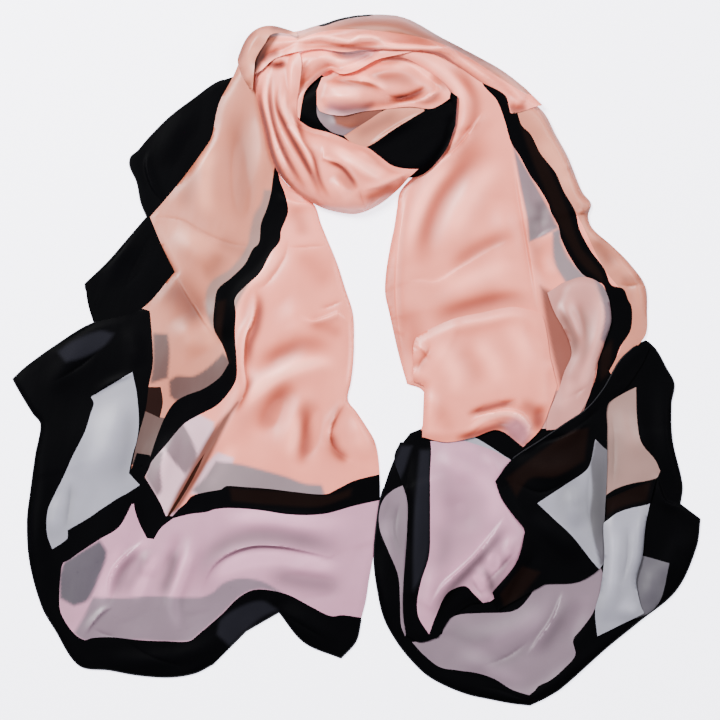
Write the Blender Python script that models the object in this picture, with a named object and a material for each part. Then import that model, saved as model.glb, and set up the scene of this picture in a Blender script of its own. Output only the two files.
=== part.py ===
"""A long satin scarf laid flat on a table in the form it is worn: wound once round
the neck opening at the top, with both tails spread out below it.

The scarf is one printed rectangle. Each stretch of it that shows is a solid of
its own: a thin wall through a table of sections, laid on what lies under it,
with its largest folds raised in it. Metres, +Z up, the table is at z = 0.
"""

import math
from collections import namedtuple

import bpy
import numpy as np
from mathutils import Vector
from mathutils.geometry import delaunay_2d_cdt

# ---------------------------------------------------------------- driving sizes

MM = 0.001
BOARD_SIDE = 0.900          # the square of table that the scarf is laid out on
BOARD_RULING = 720          # the tables below are in these rulings of the board
RULE = BOARD_SIDE / BOARD_RULING
CENTRE_X = 356.5            # middle of the laid scarf, in rulings from the left
CENTRE_Y = 360.0            # and from the far side of the board

WALL = 2.0 * MM             # cloth wall
LAY_GAP = 0.4 * MM          # air between a stretch and what it lies on
TAIL_STEP = 19.0 * MM       # mesh step on the flat tails
END_STEP = 16.0 * MM        # and on the folded scarf ends
KNOT_STEP = 10.0 * MM        # and on the wound stretches round the neck
PILE_STEP = 3.0 * MM        # ruling on which the height of the pile is kept
DRAPE_SLOPE = 1.6           # steepest fall of cloth from what it lies on
STEEPEST = 0.45             # least upright part of a normal where the wall is measured
FOLD_FADE = 0.25            # share of a fold's length over which its ends die away
EDGE_SHARE = 0.85           # a raised edge is at least this part of its lift in radius
RIM_STEPS = (0.35, 0.95)    # rows of points along an edge, in mesh steps from it

# ---------------------------------------------------------------- table columns

Section = namedtuple("Section", "left_x left_y right_x right_y lift")
Fold = namedtuple("Fold", "x0 y0 x1 y1 x2 y2 width height")
Stretch = namedtuple("Stretch", "name colour roughness step edge_round sections folds")


def table(kind, rows):
    """Rows of plain numbers as named rows; lift, width and height are in mm."""
    return [kind(*row) for row in rows]


# ---------------------------------------------------------------- the stretches
# They are listed from the table upwards, because each lies on those before it.

LEFT_UNDER_LAYER = Stretch("left_under_layer", "#0B0B0E", 0.45, TAIL_STEP, 4.0, table(Section, [
    (238, 75, 251, 82, 0),
    (195, 98, 256, 118, 0),
    (149, 138, 252, 158, 0),
    (131, 158, 245, 190, 0),
    (138, 184, 240, 212, 0),
    (147, 217, 236, 236, 0),
    (108, 262, 228, 285, 0),
    (85, 284, 218, 318, 0),
    (88, 305, 200, 340, 0),
    (96, 330, 178, 350, 0)]), table(Fold, [
        (190, 112, 168, 138, 160, 170, 16, 4),
        (135, 250, 112, 275, 104, 300, 14, 3)]))

LEFT_HIDDEN_LAYERS = Stretch("left_hidden_layers", "#C9A79C", 0.45, 26 * MM, 8.0, table(Section, [
    (268, 236, 302, 228, 0),
    (262, 300, 322, 290, 0),
    (225, 372, 332, 350, 0),
    (180, 430, 330, 420, 0),
    (162, 500, 352, 480, 0),
    (128, 570, 350, 545, 0),
    (112, 618, 338, 588, 0)]), [])

LEFT_TAIL = Stretch("left_tail", "#E2B9AC", 0.38, TAIL_STEP, 7.0, table(Section, [
    (254, 37, 282, 47, 8),
    (243, 54, 270, 70, 8),
    (233, 77, 262, 100, 5),
    (219, 104, 268, 135, 2),
    (212, 136, 275, 163, 0),
    (184, 177, 286, 186, 0),
    (150, 217, 304, 190, 0),
    (163, 248, 319, 214, 2),
    (175, 272, 337, 263, 3),
    (141, 309, 345, 288, 3),
    (91, 324, 353, 314, 3),
    (55, 346, 354, 345, 3),
    (13, 379, 351, 382, 3),
    (19, 390, 348, 400, 3),
    (41, 422, 365, 424, 3),
    (34, 470, 377, 452, 3),
    (27.5, 521, 380, 500, 2),
    (30, 562, 377, 535, 1),
    (42, 606, 369, 580, 0),
    (55, 629, 366, 600, 0),
    (79, 665, 361, 620, 0),
    (110, 670, 356, 641, 0),
    (138, 675, 341, 658, 0),
    (170, 677, 304, 642, 0),
    (195, 673, 279, 612, 0),
    (213, 664, 246, 631, 0)]), table(Fold, [
        (243, 300, 248, 372, 196, 478, 20, 9),
        (258, 392, 290, 370, 335, 366, 18, 7),
        (281, 402, 271, 430, 262, 462, 18, 6),
        (333, 322, 347, 330, 352, 345, 14, 6),
        (340, 404, 322, 432, 330, 462, 18, 7),
        (214, 190, 222, 240, 236, 300, 22, 5),
        (200, 592, 222, 560, 330, 556, 20, 7),
        (196, 546, 182, 580, 176, 606, 20, 5),
        (142, 545, 110, 578, 112, 612, 18, 7),
        (60, 420, 78, 460, 60, 515, 22, 4),
        (150, 370, 172, 350, 214, 335, 18, 5),
        (296, 232, 312, 290, 330, 340, 24, 5),
        (96, 655, 150, 660, 205, 650, 18, 3),
        (282, 606, 312, 628, 348, 636, 16, 5)]))

RIGHT_END = Stretch("right_end", "#1A1517", 0.42, END_STEP, 6.0, table(Section, [
    (410, 433, 646, 340, 0),
    (391, 470, 664, 366, 0),
    (380, 503, 674, 385, 0),
    (375, 560, 670, 421, 0),
    (379, 600, 680, 478, 0),
    (388, 626, 681, 504, 0),
    (396, 640, 700, 521, 0),
    (408, 656, 695, 550, 0),
    (426, 674, 676, 590, 0),
    (445, 685, 638, 622, 0),
    (468, 694, 606, 648, 0),
    (492, 699, 580, 672, 0),
    (512, 703, 561, 688, 0),
    (530, 705, 545, 698, 0)]), table(Fold, [
        (388, 510, 392, 560, 404, 620, 18, 6),
        (455, 640, 500, 650, 560, 610, 20, 6),
        (560, 590, 552, 620, 530, 646, 16, 6),
        (650, 372, 656, 420, 652, 462, 20, 5),
        (688, 512, 676, 545, 650, 600, 18, 5),
        (470, 684, 510, 690, 560, 672, 16, 4)]))

RIGHT_END_PANEL = Stretch("right_end_panel", "#DCC6D0", 0.36, END_STEP, 12.0, table(Section, [
    (409, 446, 472, 440, 2),
    (406, 484, 510, 461, 3),
    (406, 524, 500, 486, 4),
    (405, 560, 516, 515, 5),
    (404, 590, 527, 540, 5),
    (403, 615, 513, 570, 5),
    (406, 635, 490, 598, 4),
    (426, 641, 470, 606, 3),
    (440, 634, 452, 616, 2)]), table(Fold, [
        (506, 516, 480, 552, 436, 598, 16, 8),
        (446, 460, 470, 500, 468, 540, 18, 5)]))

KNOT_HIDDEN_LAYERS = Stretch("knot_hidden_layers", "#C9A79C", 0.45, 16 * MM, 22.0, table(Section, [
    (330, 66, 392, 68, 16),
    (302, 88, 420, 86, 16),
    (296, 120, 430, 116, 16),
    (304, 152, 420, 146, 16),
    (322, 178, 400, 170, 16),
    (346, 192, 378, 186, 16)]), [])

RIGHT_TAIL = Stretch("right_tail", "#E8BDB4", 0.36, TAIL_STEP, 9.0, table(Section, [
    (380, 62, 394, 40, 24),
    (404, 66, 440, 48, 22),
    (430, 80, 478, 66, 20),
    (449, 98, 506, 86, 18),
    (453, 118, 541, 110, 15),
    (445, 142, 552, 130, 11),
    (430, 162, 566, 155, 8),
    (412, 178, 580, 186, 6),
    (399, 200, 589, 212, 5),
    (394, 225, 600, 238, 5),
    (388, 256, 629, 263, 4),
    (385, 288, 645, 286, 4),
    (391, 318, 647, 312, 3),
    (400, 358, 644, 338, 3),
    (408, 385, 620, 360, 3),
    (425, 398, 606, 382, 2),
    (424, 418, 586, 409, 2),
    (422, 436, 560, 427, 2),
    (448, 440, 530, 438, 2)]), table(Fold, [
        (400, 56, 462, 84, 470, 140, 26, 8),
        (414, 178, 400, 245, 400, 305, 18, 8),
        (440, 200, 428, 260, 440, 305, 24, 7),
        (496, 180, 480, 250, 492, 300, 26, 6),
        (536, 168, 560, 220, 590, 262, 20, 6),
        (600, 250, 626, 290, 618, 340, 22, 6),
        (540, 250, 530, 262, 545, 290, 18, 6)]))

RIGHT_POUCH = Stretch("right_pouch", "#E8BDB4", 0.36, END_STEP, 12.0, table(Section, [
    (413, 352, 417, 386, 6),
    (415, 335, 426, 404, 8),
    (429, 326, 422, 437, 8),
    (457, 317, 446, 440, 7),
    (486, 310, 473, 438, 6),
    (507, 306, 498, 431, 6),
    (524, 309, 522, 436, 7),
    (545, 316, 543, 421, 6),
    (564, 330, 556, 402, 5),
    (571, 348, 564, 380, 4)]), table(Fold, [
        (428, 332, 470, 322, 522, 314, 15, 6),
        (440, 420, 475, 416, 524, 424, 16, 6),
        (446, 350, 450, 380, 444, 405, 20, 4),
        (512, 330, 500, 370, 520, 405, 22, 5)]))

RIGHT_HUMP = Stretch("right_hump", "#E4BDB0", 0.38, END_STEP, 14.0, table(Section, [
    (543, 294, 557, 288, 5),
    (547, 306, 582, 277, 8),
    (553, 322, 603, 286, 9),
    (560, 344, 611, 317, 9),
    (566, 364, 599, 352, 8),
    (572, 386, 595, 378, 6),
    (578, 402, 587, 400, 4)]), [])

RIGHT_CORNER_FOLD = Stretch("right_corner_fold", "#08080B", 0.45, END_STEP, 8.0, table(Section, [
    (636, 345, 650, 347, 0),
    (611, 372, 638, 372, 1),
    (588, 407, 616, 398, 2),
    (542, 439, 609, 428, 3),
    (511, 460, 607, 455, 3),
    (495, 481, 605, 495, 3),
    (504, 504, 604, 523, 3),
    (525, 530, 604, 548, 3),
    (513, 562, 602, 571, 3),
    (488, 592, 576, 584, 2),
    (500, 609, 548, 582, 2)]), table(Fold, [
        (520, 462, 556, 480, 590, 478, 18, 5),
        (536, 520, 566, 552, 560, 572, 18, 5)]))

RIGHT_SILVER_FOLD = Stretch("right_silver_fold", "#C2C3C8", 0.34, END_STEP, 14.0, table(Section, [
    (607, 499, 657, 480, 3),
    (610, 514, 650, 503, 7),
    (603, 528, 644, 530, 9),
    (604, 555, 641, 557, 9),
    (601, 590, 637, 582, 8),
    (596, 612, 641, 605, 6),
    (598, 634, 645, 619, 3)]), [])

NECK_INNER_LAYERS = Stretch("neck_inner_layers", "#A89C96", 0.42, KNOT_STEP, 12.0, table(Section, [
    (306, 92, 308, 124, 20),
    (322, 100, 330, 142, 20),
    (345, 100, 352, 154, 19),
    (372, 98, 378, 164, 18),
    (400, 98, 402, 174, 18),
    (424, 98, 424, 174, 18),
    (444, 96, 446, 150, 18),
    (456, 104, 454, 126, 18)]), table(Fold, [
        (340, 128, 380, 124, 420, 108, 12, 3)]))

NECK_INNER_ROLL = Stretch("neck_inner_roll", "#E6B4A6", 0.36, KNOT_STEP, 20.0, table(Section, [
    (312, 90, 314, 106, 22),
    (323, 78, 321, 113, 27),
    (342, 73, 345, 117, 30),
    (362, 67, 366, 113, 31),
    (384, 59, 388, 112, 31),
    (405, 62, 412, 113, 29),
    (430, 76, 435, 111, 26),
    (446, 90, 446, 104, 22)]), table(Fold, [
        (326, 80, 360, 84, 398, 72, 12, 5),
        (390, 100, 412, 100, 438, 92, 10, 4)]))

NECK_SECOND_ROLL = Stretch("neck_second_roll", "#EBC0B1", 0.36, KNOT_STEP, 12.0, table(Section, [
    (392, 45, 392, 57, 22),
    (368, 47, 372, 62, 24),
    (344, 55, 349, 72, 26),
    (322, 49, 326, 78, 27),
    (302, 52, 311, 88, 28),
    (292, 66, 306, 98, 28),
    (289, 88, 302, 110, 28),
    (288, 108, 302, 120, 27)]), table(Fold, [
        (386, 50, 350, 62, 312, 54, 10, 5)]))

NECK_WRAP = Stretch("neck_wrap", "#E9BFB3", 0.36, KNOT_STEP, 16.0, table(Section, [
    (264, 60, 299, 52, 20),
    (256, 74, 303, 66, 23),
    (256, 92, 301, 86, 26),
    (261, 110, 297, 106, 28),
    (267, 136, 299, 121, 30),
    (272, 155, 311, 130, 32),
    (277, 171, 325, 133, 33),
    (289, 186, 340, 139, 34),
    (304, 198, 355, 146, 34),
    (322, 208, 369, 150, 34),
    (340, 213, 380, 158, 33),
    (358, 214, 391, 166, 31),
    (379, 205, 401, 168, 29),
    (398, 190, 411, 170, 26),
    (409, 178, 418, 171, 24)]), table(Fold, [
        (282, 84, 284, 120, 306, 176, 9, 6),
        (270, 104, 276, 150, 300, 186, 8, 5),
        (297, 60, 300, 92, 296, 112, 10, 5),
        (306, 146, 326, 186, 358, 204, 14, 6),
        (322, 140, 350, 156, 396, 172, 11, 5),
        (352, 196, 376, 190, 402, 180, 9, 4)]))

BACK_NECK_ROLL = Stretch("back_neck_roll", "#EBC0B1", 0.36, KNOT_STEP, 20.0, table(Section, [
    (254, 77, 267, 68, 24),
    (260, 60, 281, 57, 27),
    (276, 46, 302, 51, 30),
    (298, 36, 323, 57, 33),
    (320, 25, 348, 65, 35),
    (347, 17.5, 372, 55, 36),
    (375, 15, 400, 53, 36),
    (405, 18.5, 431, 55, 35),
    (443, 39, 458, 69, 32),
    (479, 58, 480, 81, 28),
    (502, 71, 503, 93, 25),
    (524, 90, 509, 111, 21),
    (543, 109, 530, 117, 17)]), table(Fold, [
        (280, 52, 330, 40, 385, 44, 12, 6),
        (400, 46, 450, 52, 512, 90, 12, 5),
        (306, 50, 345, 62, 376, 50, 10, 4),
        (350, 26, 400, 28, 450, 50, 14, 4)]))

LEFT_SHOULDER_FOLD = Stretch("left_shoulder_fold", "#D9A894", 0.38, KNOT_STEP, 14.0, table(Section, [
    (237, 70, 251, 78, 18),
    (240, 55, 255, 62, 24),
    (247, 40, 262, 50, 28),
    (258, 30, 270, 44, 30),
    (273, 27, 284, 43, 31),
    (290, 33, 299, 42, 31)]), [])

STRETCHES = [
    LEFT_UNDER_LAYER, LEFT_HIDDEN_LAYERS, LEFT_TAIL,
    RIGHT_END, RIGHT_END_PANEL, KNOT_HIDDEN_LAYERS, RIGHT_TAIL, RIGHT_POUCH, RIGHT_HUMP,
    RIGHT_CORNER_FOLD, RIGHT_SILVER_FOLD,
    NECK_INNER_LAYERS, NECK_INNER_ROLL, NECK_SECOND_ROLL, NECK_WRAP, BACK_NECK_ROLL, LEFT_SHOULDER_FOLD,
]
FILLED = {"left_hidden_layers", "knot_hidden_layers"}   # heaped layers as one solid


# ---------------------------------------------------------------- curves

def place(x, y):
    """A point of the board, in rulings, as metres from the middle of the scarf."""
    return np.array([(x - CENTRE_X) * RULE, (CENTRE_Y - y) * RULE])


def smooth_curve(points, step):
    """Points about one step apart on a smooth curve through all the given points."""
    ends = [2 * points[0] - points[1]] + list(points) + [2 * points[-1] - points[-2]]
    curve = [points[0]]
    for before, start, end, after in zip(ends, ends[1:], ends[2:], ends[3:]):
        reach = np.linalg.norm(end - start)
        pull_in = (end - before) * reach / (np.linalg.norm(start - before) + reach)
        pull_out = (after - start) * reach / (np.linalg.norm(after - end) + reach)
        count = max(1, round(reach / step))
        for k in range(1, count + 1):
            t = k / count
            h_end = t * t * (3 - 2 * t)
            h_in = t * (1 - t) ** 2
            h_out = t * t * (t - 1)
            curve.append(start + h_end * (end - start) + h_in * pull_in + h_out * pull_out)
    return np.array(curve)


def outline_of(stretch):
    """The stretch's left edge going down, then its right edge coming back up."""
    left = smooth_curve([place(s.left_x, s.left_y) for s in stretch.sections], stretch.step)
    right = smooth_curve([place(s.right_x, s.right_y) for s in stretch.sections], stretch.step)
    last_row = smooth_curve([left[-1], right[-1]], stretch.step)[1:-1]
    first_row = smooth_curve([right[0], left[0]], stretch.step)[1:-1]
    return left, right, np.vstack([left, last_row, right[::-1], first_row])


def distance_to_path(points, path):
    """For each point, its distance to a path and how far along the path that is, 0 to 1."""
    start = path[:-1]
    run = path[1:] - start
    size = np.maximum((run ** 2).sum(axis=1), 1e-12)
    along = ((points[:, None, :] - start) * run).sum(axis=2) / size
    along = along.clip(0, 1)
    off = points[:, None, :] - (start + along[:, :, None] * run)
    distance = np.sqrt((off ** 2).sum(axis=2))
    nearest = distance.argmin(axis=1)
    every = np.arange(len(points))
    return distance[every, nearest], (nearest + along[every, nearest]) / len(run)


def inside(points, outline):
    """Which points lie inside a closed outline."""
    x, y = points[:, 0, None], points[:, 1, None]
    x0, y0 = outline[:, 0], outline[:, 1]
    x1, y1 = np.roll(x0, -1), np.roll(y0, -1)
    rise = np.where(y1 == y0, 1e-12, y1 - y0)
    crosses = ((y0 > y) != (y1 > y)) & (x < (x1 - x0) * (y - y0) / rise + x0)
    return crosses.sum(axis=1) % 2 == 1


# ---------------------------------------------------------------- the pile

class Pile:
    """Height of all that lies on the board so far, on a square ruling."""

    def __init__(self):
        self.count = int(BOARD_SIDE / PILE_STEP) + 20
        self.height = np.zeros((self.count, self.count))

    def cell(self, points):
        spots = np.rint(points / PILE_STEP).astype(int) + self.count // 2
        return spots.clip(1, self.count - 2)

    def spread(self, height, steps, fall):
        """Each spot takes its highest neighbour less the fall, so many times over."""
        for turn in range(steps):
            wider = height.copy()
            for axis in (0, 1):
                for way in (-1, 1):
                    wider = np.maximum(wider, np.roll(height, way, axis) - fall)
            if turn % 2:
                for way_x in (-1, 1):
                    for way_y in (-1, 1):
                        corner = np.roll(height, (way_x, way_y), (0, 1)) - fall * math.sqrt(2)
                        wider = np.maximum(wider, corner)
            height = wider
        return height

    def support(self, points, reach):
        """Height that cloth with this mesh step has to clear at each point."""
        wide = self.spread(self.height, int(reach / PILE_STEP) + 2, 0.0)
        fall = DRAPE_SLOPE * PILE_STEP
        draped = self.spread(wide, int(wide.max() / fall) + 1, fall)
        spots = self.cell(points)
        return np.maximum(draped[spots[:, 0], spots[:, 1]], 0.0)

    def add(self, corners):
        """Raise the pile to the given triangles, each of three corner points."""
        parts = 8
        weights = [(i, j, parts - i - j) for i in range(parts + 1) for j in range(parts + 1 - i)]
        spread = np.einsum("wc,tcx->twx", np.array(weights) / parts, corners).reshape(-1, 3)
        spots = self.cell(spread[:, :2])
        np.maximum.at(self.height, (spots[:, 0], spots[:, 1]), spread[:, 2])


# ---------------------------------------------------------------- one stretch

def rim_rows(stretch, outline):
    """Rows of points that follow the outline a little way in, so that it is clean."""
    ahead = np.roll(outline, -1, axis=0)
    run = ahead - np.roll(outline, 1, axis=0)
    turn = np.sign((outline[:, 0] * ahead[:, 1] - outline[:, 1] * ahead[:, 0]).sum())
    inward = turn * np.column_stack([-run[:, 1], run[:, 0]])
    inward /= np.maximum(np.linalg.norm(inward, axis=1), 1e-9)[:, None]
    closed = np.vstack([outline, outline[:1]])
    rows = []
    for steps in RIM_STEPS:
        row = outline + inward * steps * stretch.step
        clear = distance_to_path(row, closed)[0] > 0.9 * steps * stretch.step
        row = row[clear & inside(row, outline)]
        apart = [row[0]]
        for point in row[1:]:
            if np.linalg.norm(point - apart[-1]) > 0.5 * stretch.step:
                apart.append(point)
        rows += apart
    return np.array(rows)


def mesh_plan(stretch):
    """The stretch seen from above: its points and its triangles, the outline first."""
    left, right, outline = outline_of(stretch)
    low, high = outline.min(axis=0), outline.max(axis=0)
    row_step = stretch.step * math.sqrt(3) / 2
    lattice = []
    for row in range(int((high[1] - low[1]) / row_step) + 1):
        start = low[0] + (row % 2) * stretch.step / 2
        for x in np.arange(start, high[0], stretch.step):
            lattice.append((x, low[1] + row * row_step))
    lattice = np.array(lattice)
    closed = np.vstack([outline, outline[:1]])
    clear = distance_to_path(lattice, closed)[0] > (RIM_STEPS[-1] + 0.6) * stretch.step
    lattice = lattice[clear & inside(lattice, outline)]
    points = np.vstack([outline, rim_rows(stretch, outline), lattice])
    edges = [(k, (k + 1) % len(outline)) for k in range(len(outline))]
    found = delaunay_2d_cdt([Vector(p) for p in points], edges, [], 0, 1e-7)
    points = np.array([tuple(p) for p in found[0]])
    triangles = np.array([face for face in found[2] if len(face) == 3])
    middles = points[triangles].mean(axis=1)
    triangles = triangles[inside(middles, outline)]
    a, b, c = (points[triangles[:, k]] for k in range(3))
    turn = (b - a)[:, 0] * (c - a)[:, 1] - (b - a)[:, 1] * (c - a)[:, 0]
    triangles[turn < 0] = triangles[turn < 0][:, ::-1]
    return points, triangles, left, right


def own_height(stretch, points, left, right):
    """How high the stretch stands by itself: its lift, rounded at the edges, and its folds."""
    middle = smooth_curve([(place(s.left_x, s.left_y) + place(s.right_x, s.right_y)) / 2
                           for s in stretch.sections], stretch.step)
    share = distance_to_path(points, middle)[1]
    stations = np.linspace(0, 1, len(stretch.sections))
    lift = np.interp(share, stations, [s.lift for s in stretch.sections]) * MM
    edge = np.minimum(distance_to_path(points, left)[0], distance_to_path(points, right)[0])
    radius = np.maximum(stretch.edge_round * MM, EDGE_SHARE * lift)
    inward = (edge / radius).clip(0, 1)
    height = lift * np.sqrt(1 - (1 - inward) ** 2)
    for fold in stretch.folds:
        path = smooth_curve([place(fold.x0, fold.y0), place(fold.x1, fold.y1),
                             place(fold.x2, fold.y2)], 6 * MM)
        distance, along = distance_to_path(points, path)
        fade = (np.minimum(along, 1 - along) / FOLD_FADE).clip(0, 1)
        bump = np.exp(-(distance / (fold.width * MM)) ** 2 * 1.6)
        height = height + fold.height * MM * bump * np.sqrt(fade) * inward
    return height


def upright(points, heights, triangles):
    """The upright part of each point's normal."""
    corners = np.column_stack([points, heights])[triangles]
    normals = np.cross(corners[:, 1] - corners[:, 0], corners[:, 2] - corners[:, 0])
    sums = np.zeros((len(points), 3))
    for corner in range(3):
        np.add.at(sums, triangles[:, corner], normals)
    return sums[:, 2] / np.maximum(np.linalg.norm(sums, axis=1), 1e-12)


def closed_wall(points, under, over, triangles):
    """Corner points and faces of the closed solid between two heights."""
    count = len(points)
    corners = np.vstack([np.column_stack([points, under]), np.column_stack([points, over])])
    faces = [tuple(int(k) for k in face[::-1]) for face in triangles]
    faces += [tuple(int(k) + count for k in face) for face in triangles]
    sides = {(int(face[k]), int(face[(k + 1) % 3])) for face in triangles for k in range(3)}
    for start, end in sorted(sides):
        if (end, start) not in sides:
            faces.append((start, end, end + count))
            faces.append((start, end + count, start + count))
    return corners, faces


def satin(stretch):
    """The printed polyester satin in this stretch's main colour."""
    material = bpy.data.materials.new(stretch.name + "_satin")
    material.use_nodes = True
    shader = material.node_tree.nodes["Principled BSDF"]
    code = stretch.colour.lstrip("#")
    values = [int(code[k:k + 2], 16) / 255 for k in (0, 2, 4)]
    linear = [v / 12.92 if v <= 0.04045 else ((v + 0.055) / 1.055) ** 2.4 for v in values]
    shader.inputs["Base Color"].default_value = (*linear, 1.0)
    shader.inputs["Roughness"].default_value = stretch.roughness
    shader.inputs["Metallic"].default_value = 0.0
    return material


def lay(stretch, pile):
    """Lay one stretch on the pile as a closed solid."""
    points, triangles, left, right = mesh_plan(stretch)
    own = own_height(stretch, points, left, right)
    support = pile.support(points, stretch.step)
    under = np.maximum(own, np.where(support > 0, support + LAY_GAP, 0.0))
    wall = WALL / np.maximum(upright(points, under, triangles), STEEPEST)
    over = under + wall
    pile.add(np.column_stack([points, over])[triangles])
    if stretch.name in FILLED:
        under = np.zeros(len(points))
    corners, faces = closed_wall(points, under, over, triangles)
    mesh = bpy.data.meshes.new(stretch.name)
    mesh.from_pydata(corners.tolist(), [], faces)
    mesh.update()
    mesh.shade_smooth()
    mesh.materials.append(satin(stretch))
    part = bpy.data.objects.new(stretch.name, mesh)
    bpy.context.collection.objects.link(part)
    print(stretch.name, len(faces), "faces, top", round(over.max() / MM, 1), "mm")
    return part


def main():
    for old in list(bpy.data.objects):
        bpy.data.objects.remove(old, do_unlink=True)
    pile = Pile()
    for stretch in STRETCHES:
        lay(stretch, pile)


main()
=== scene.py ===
# %% [markdown]
# # A printed satin scarf, laid flat as it is worn
# The real object is one rectangle of light, slightly sheer polyester satin, 0.90 m wide and
# 1.80 m long, with a narrow rolled hem. It is wound once round the neck opening and its two
# tails are spread on a table. This lesson lays every stretch of that cloth that shows as a
# thin shell on the stretch below it, prints the bands on it, and lights it like the photo.

# %% The frame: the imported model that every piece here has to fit
import math
from collections import namedtuple

import bpy
import numpy as np
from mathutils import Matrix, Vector
from mathutils.geometry import delaunay_2d_cdt


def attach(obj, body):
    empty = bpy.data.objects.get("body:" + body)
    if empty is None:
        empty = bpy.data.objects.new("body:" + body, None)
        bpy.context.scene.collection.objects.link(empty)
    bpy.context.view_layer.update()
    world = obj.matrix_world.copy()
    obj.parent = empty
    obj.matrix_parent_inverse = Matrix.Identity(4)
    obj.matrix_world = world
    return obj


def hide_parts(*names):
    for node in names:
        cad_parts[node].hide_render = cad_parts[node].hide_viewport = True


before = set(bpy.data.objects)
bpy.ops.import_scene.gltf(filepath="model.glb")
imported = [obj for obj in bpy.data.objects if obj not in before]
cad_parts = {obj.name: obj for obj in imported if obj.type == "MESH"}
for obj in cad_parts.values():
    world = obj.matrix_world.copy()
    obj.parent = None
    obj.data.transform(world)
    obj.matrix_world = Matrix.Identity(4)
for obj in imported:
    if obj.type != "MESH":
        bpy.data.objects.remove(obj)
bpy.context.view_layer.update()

# %% [markdown]
# ## Sizes
# The places in the tables are read on the square of table that the scarf lies on: 0.90 m
# across, ruled in 720 parts, x to the right and y towards the tail ends. One ruling is
# 1.25 mm. Heights, widths and cloth sizes are in millimetres.

# %% Sizes
MM = 0.001
BOARD_SIDE = 0.900
BOARD_RULING = 720
RULE = BOARD_SIDE / BOARD_RULING
CENTRE_X, CENTRE_Y = 356.5, 360.0  # middle of the laid scarf, in rulings

CUT_WIDTH, CUT_LENGTH = 0.90, 1.80  # the scarf before it is wound, in metres
CLOTH = 0.7 * MM  # shell of the cloth, drawn thicker than its 0.15 mm
LAY_GAP = 0.5 * MM  # air between a stretch and the one below it
COARSE = 1.0
TAIL_STEP = 3.2 * MM * COARSE  # side of a triangle on the slack tails
KNOT_STEP = 2.4 * MM * COARSE  # and on the gathered cloth round the neck
CREASE_STEP = 1.6 * MM * COARSE  # and beside a sharp crease
CREASE_REACH = 6.0 * MM  # half the width of that finer strip
print("one ruling is", round(RULE / MM, 3), "mm, the scarf is cut", CUT_WIDTH, "by", CUT_LENGTH)

# %% [markdown]
# ## Colours
# The print has few colours. A colour code is what a screen shows, so it is turned to the
# linear light that the renderer works in. A printed edge is sharp. Where a dark band of a
# lower layer shines through, the cloth above it has a smoky tone of its own, and its edge is
# blurred over a few millimetres. Shade is painted in the same way: a few soft dark dyes stand
# for the shade in the deepest creases and pockets, and in places a grey sheen is painted on
# the black. The dark dyes take up nearly all gloss, so they get a second, duller satin.

# %% Colours


def linear(code):
    """An sRGB hex code as linear red, green and blue."""
    values = [int(code[k:k + 2], 16) / 255 for k in (1, 3, 5)]
    return [v / 12.92 if v <= 0.04045 else ((v + 0.055) / 1.055) ** 2.4 for v in values]


Dye = namedtuple("Dye", "code roughness dark blur")  # blur: width of a soft edge, in mm
DYES = {
    "peach": Dye("#DF7865", 0.44, False, 0),
    "beige": Dye("#AB614B", 0.46, False, 0),
    "beige_dim": Dye("#7B5A53", 0.46, False, 0),
    "lilac": Dye("#A67389", 0.44, False, 0),
    "silver": Dye("#7A7984", 0.44, False, 0),
    "blush": Dye("#A96A63", 0.44, False, 0),
    "mist": Dye("#BF97A3", 0.44, False, 2),
    "tan": Dye("#3C2019", 0.46, False, 0),
    "lilac_dim": Dye("#66535F", 0.46, False, 2),
    # a rose tone; on the neck rolls it is painted mauve shade
    "rose": Dye("#9C5E66", 0.44, False, 8),
    # darker silver; on the turned corner it is painted shade
    "silver_dim": Dye("#3E3A42", 0.46, False, 2),
    # painted shade of a deep pocket
    "painted_pocket_shade": Dye("#6A2A1A", 0.46, False, 4),
    "smoke_on_peach": Dye("#6C5B60", 0.46, False, 2.5),
    "smoke_on_beige": Dye("#78564E", 0.46, False, 2.5),
    "smoke_on_lilac": Dye("#38303A", 0.46, False, 2.5),
    "lavender": Dye("#665057", 0.46, False, 2),
    "dusk": Dye("#43241F", 0.46, False, 2),
    "brown": Dye("#1A0E0C", 0.5, True, 0),
    # painted shade for the deepest crease valleys, pockets and the shadow under a roll
    "painted_deep_shade": Dye("#5A2210", 0.8, False, 3),
    # painted shadow at the core of a crease
    "painted_shadow_core": Dye("#24100A", 0.5, True, 0),
    "umber": Dye("#0E0706", 0.5, True, 3),
    # the black where it lies single and sheer, with a painted grey sheen
    "sheer_black_with_painted_sheen": Dye("#141419", 0.5, True, 3),
    "black": Dye("#030304", 0.5, True, 0),
}
TONES = {name: np.array([*linear(dye.code), dye.roughness]) for name, dye in DYES.items()}
print(len(DYES), "dyes and doubled tones")

# %% [markdown]
# ## Curves on the board
# An edge is given by a few points. A smooth curve is passed through them, but where the edge
# turns sharply, as at a corner of the scarf, the curve is broken so that the corner stays.

# %% Curves
SHARP_TURN = math.radians(52)


def place(x, y):
    """A point of the board as metres from the middle of the scarf."""
    return np.array([(x - CENTRE_X) * RULE, (CENTRE_Y - y) * RULE])


def smooth_run(points, step):
    """A curve with even steps that passes smoothly through each of the points."""
    ends = [2 * points[0] - points[1]] + list(points) + [2 * points[-1] - points[-2]]
    curve = [points[0]]
    for before, start, end, after in zip(ends, ends[1:], ends[2:], ends[3:]):
        reach = np.linalg.norm(end - start)
        pull_in = (end - before) * reach / (np.linalg.norm(start - before) + reach)
        pull_out = (after - start) * reach / (np.linalg.norm(after - end) + reach)
        count = max(1, round(reach / step))
        for k in range(1, count + 1):
            t = k / count
            curve.append(start + t * t * (3 - 2 * t) * (end - start)
                         + t * (1 - t) ** 2 * pull_in + t * t * (t - 1) * pull_out)
    return curve


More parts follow.
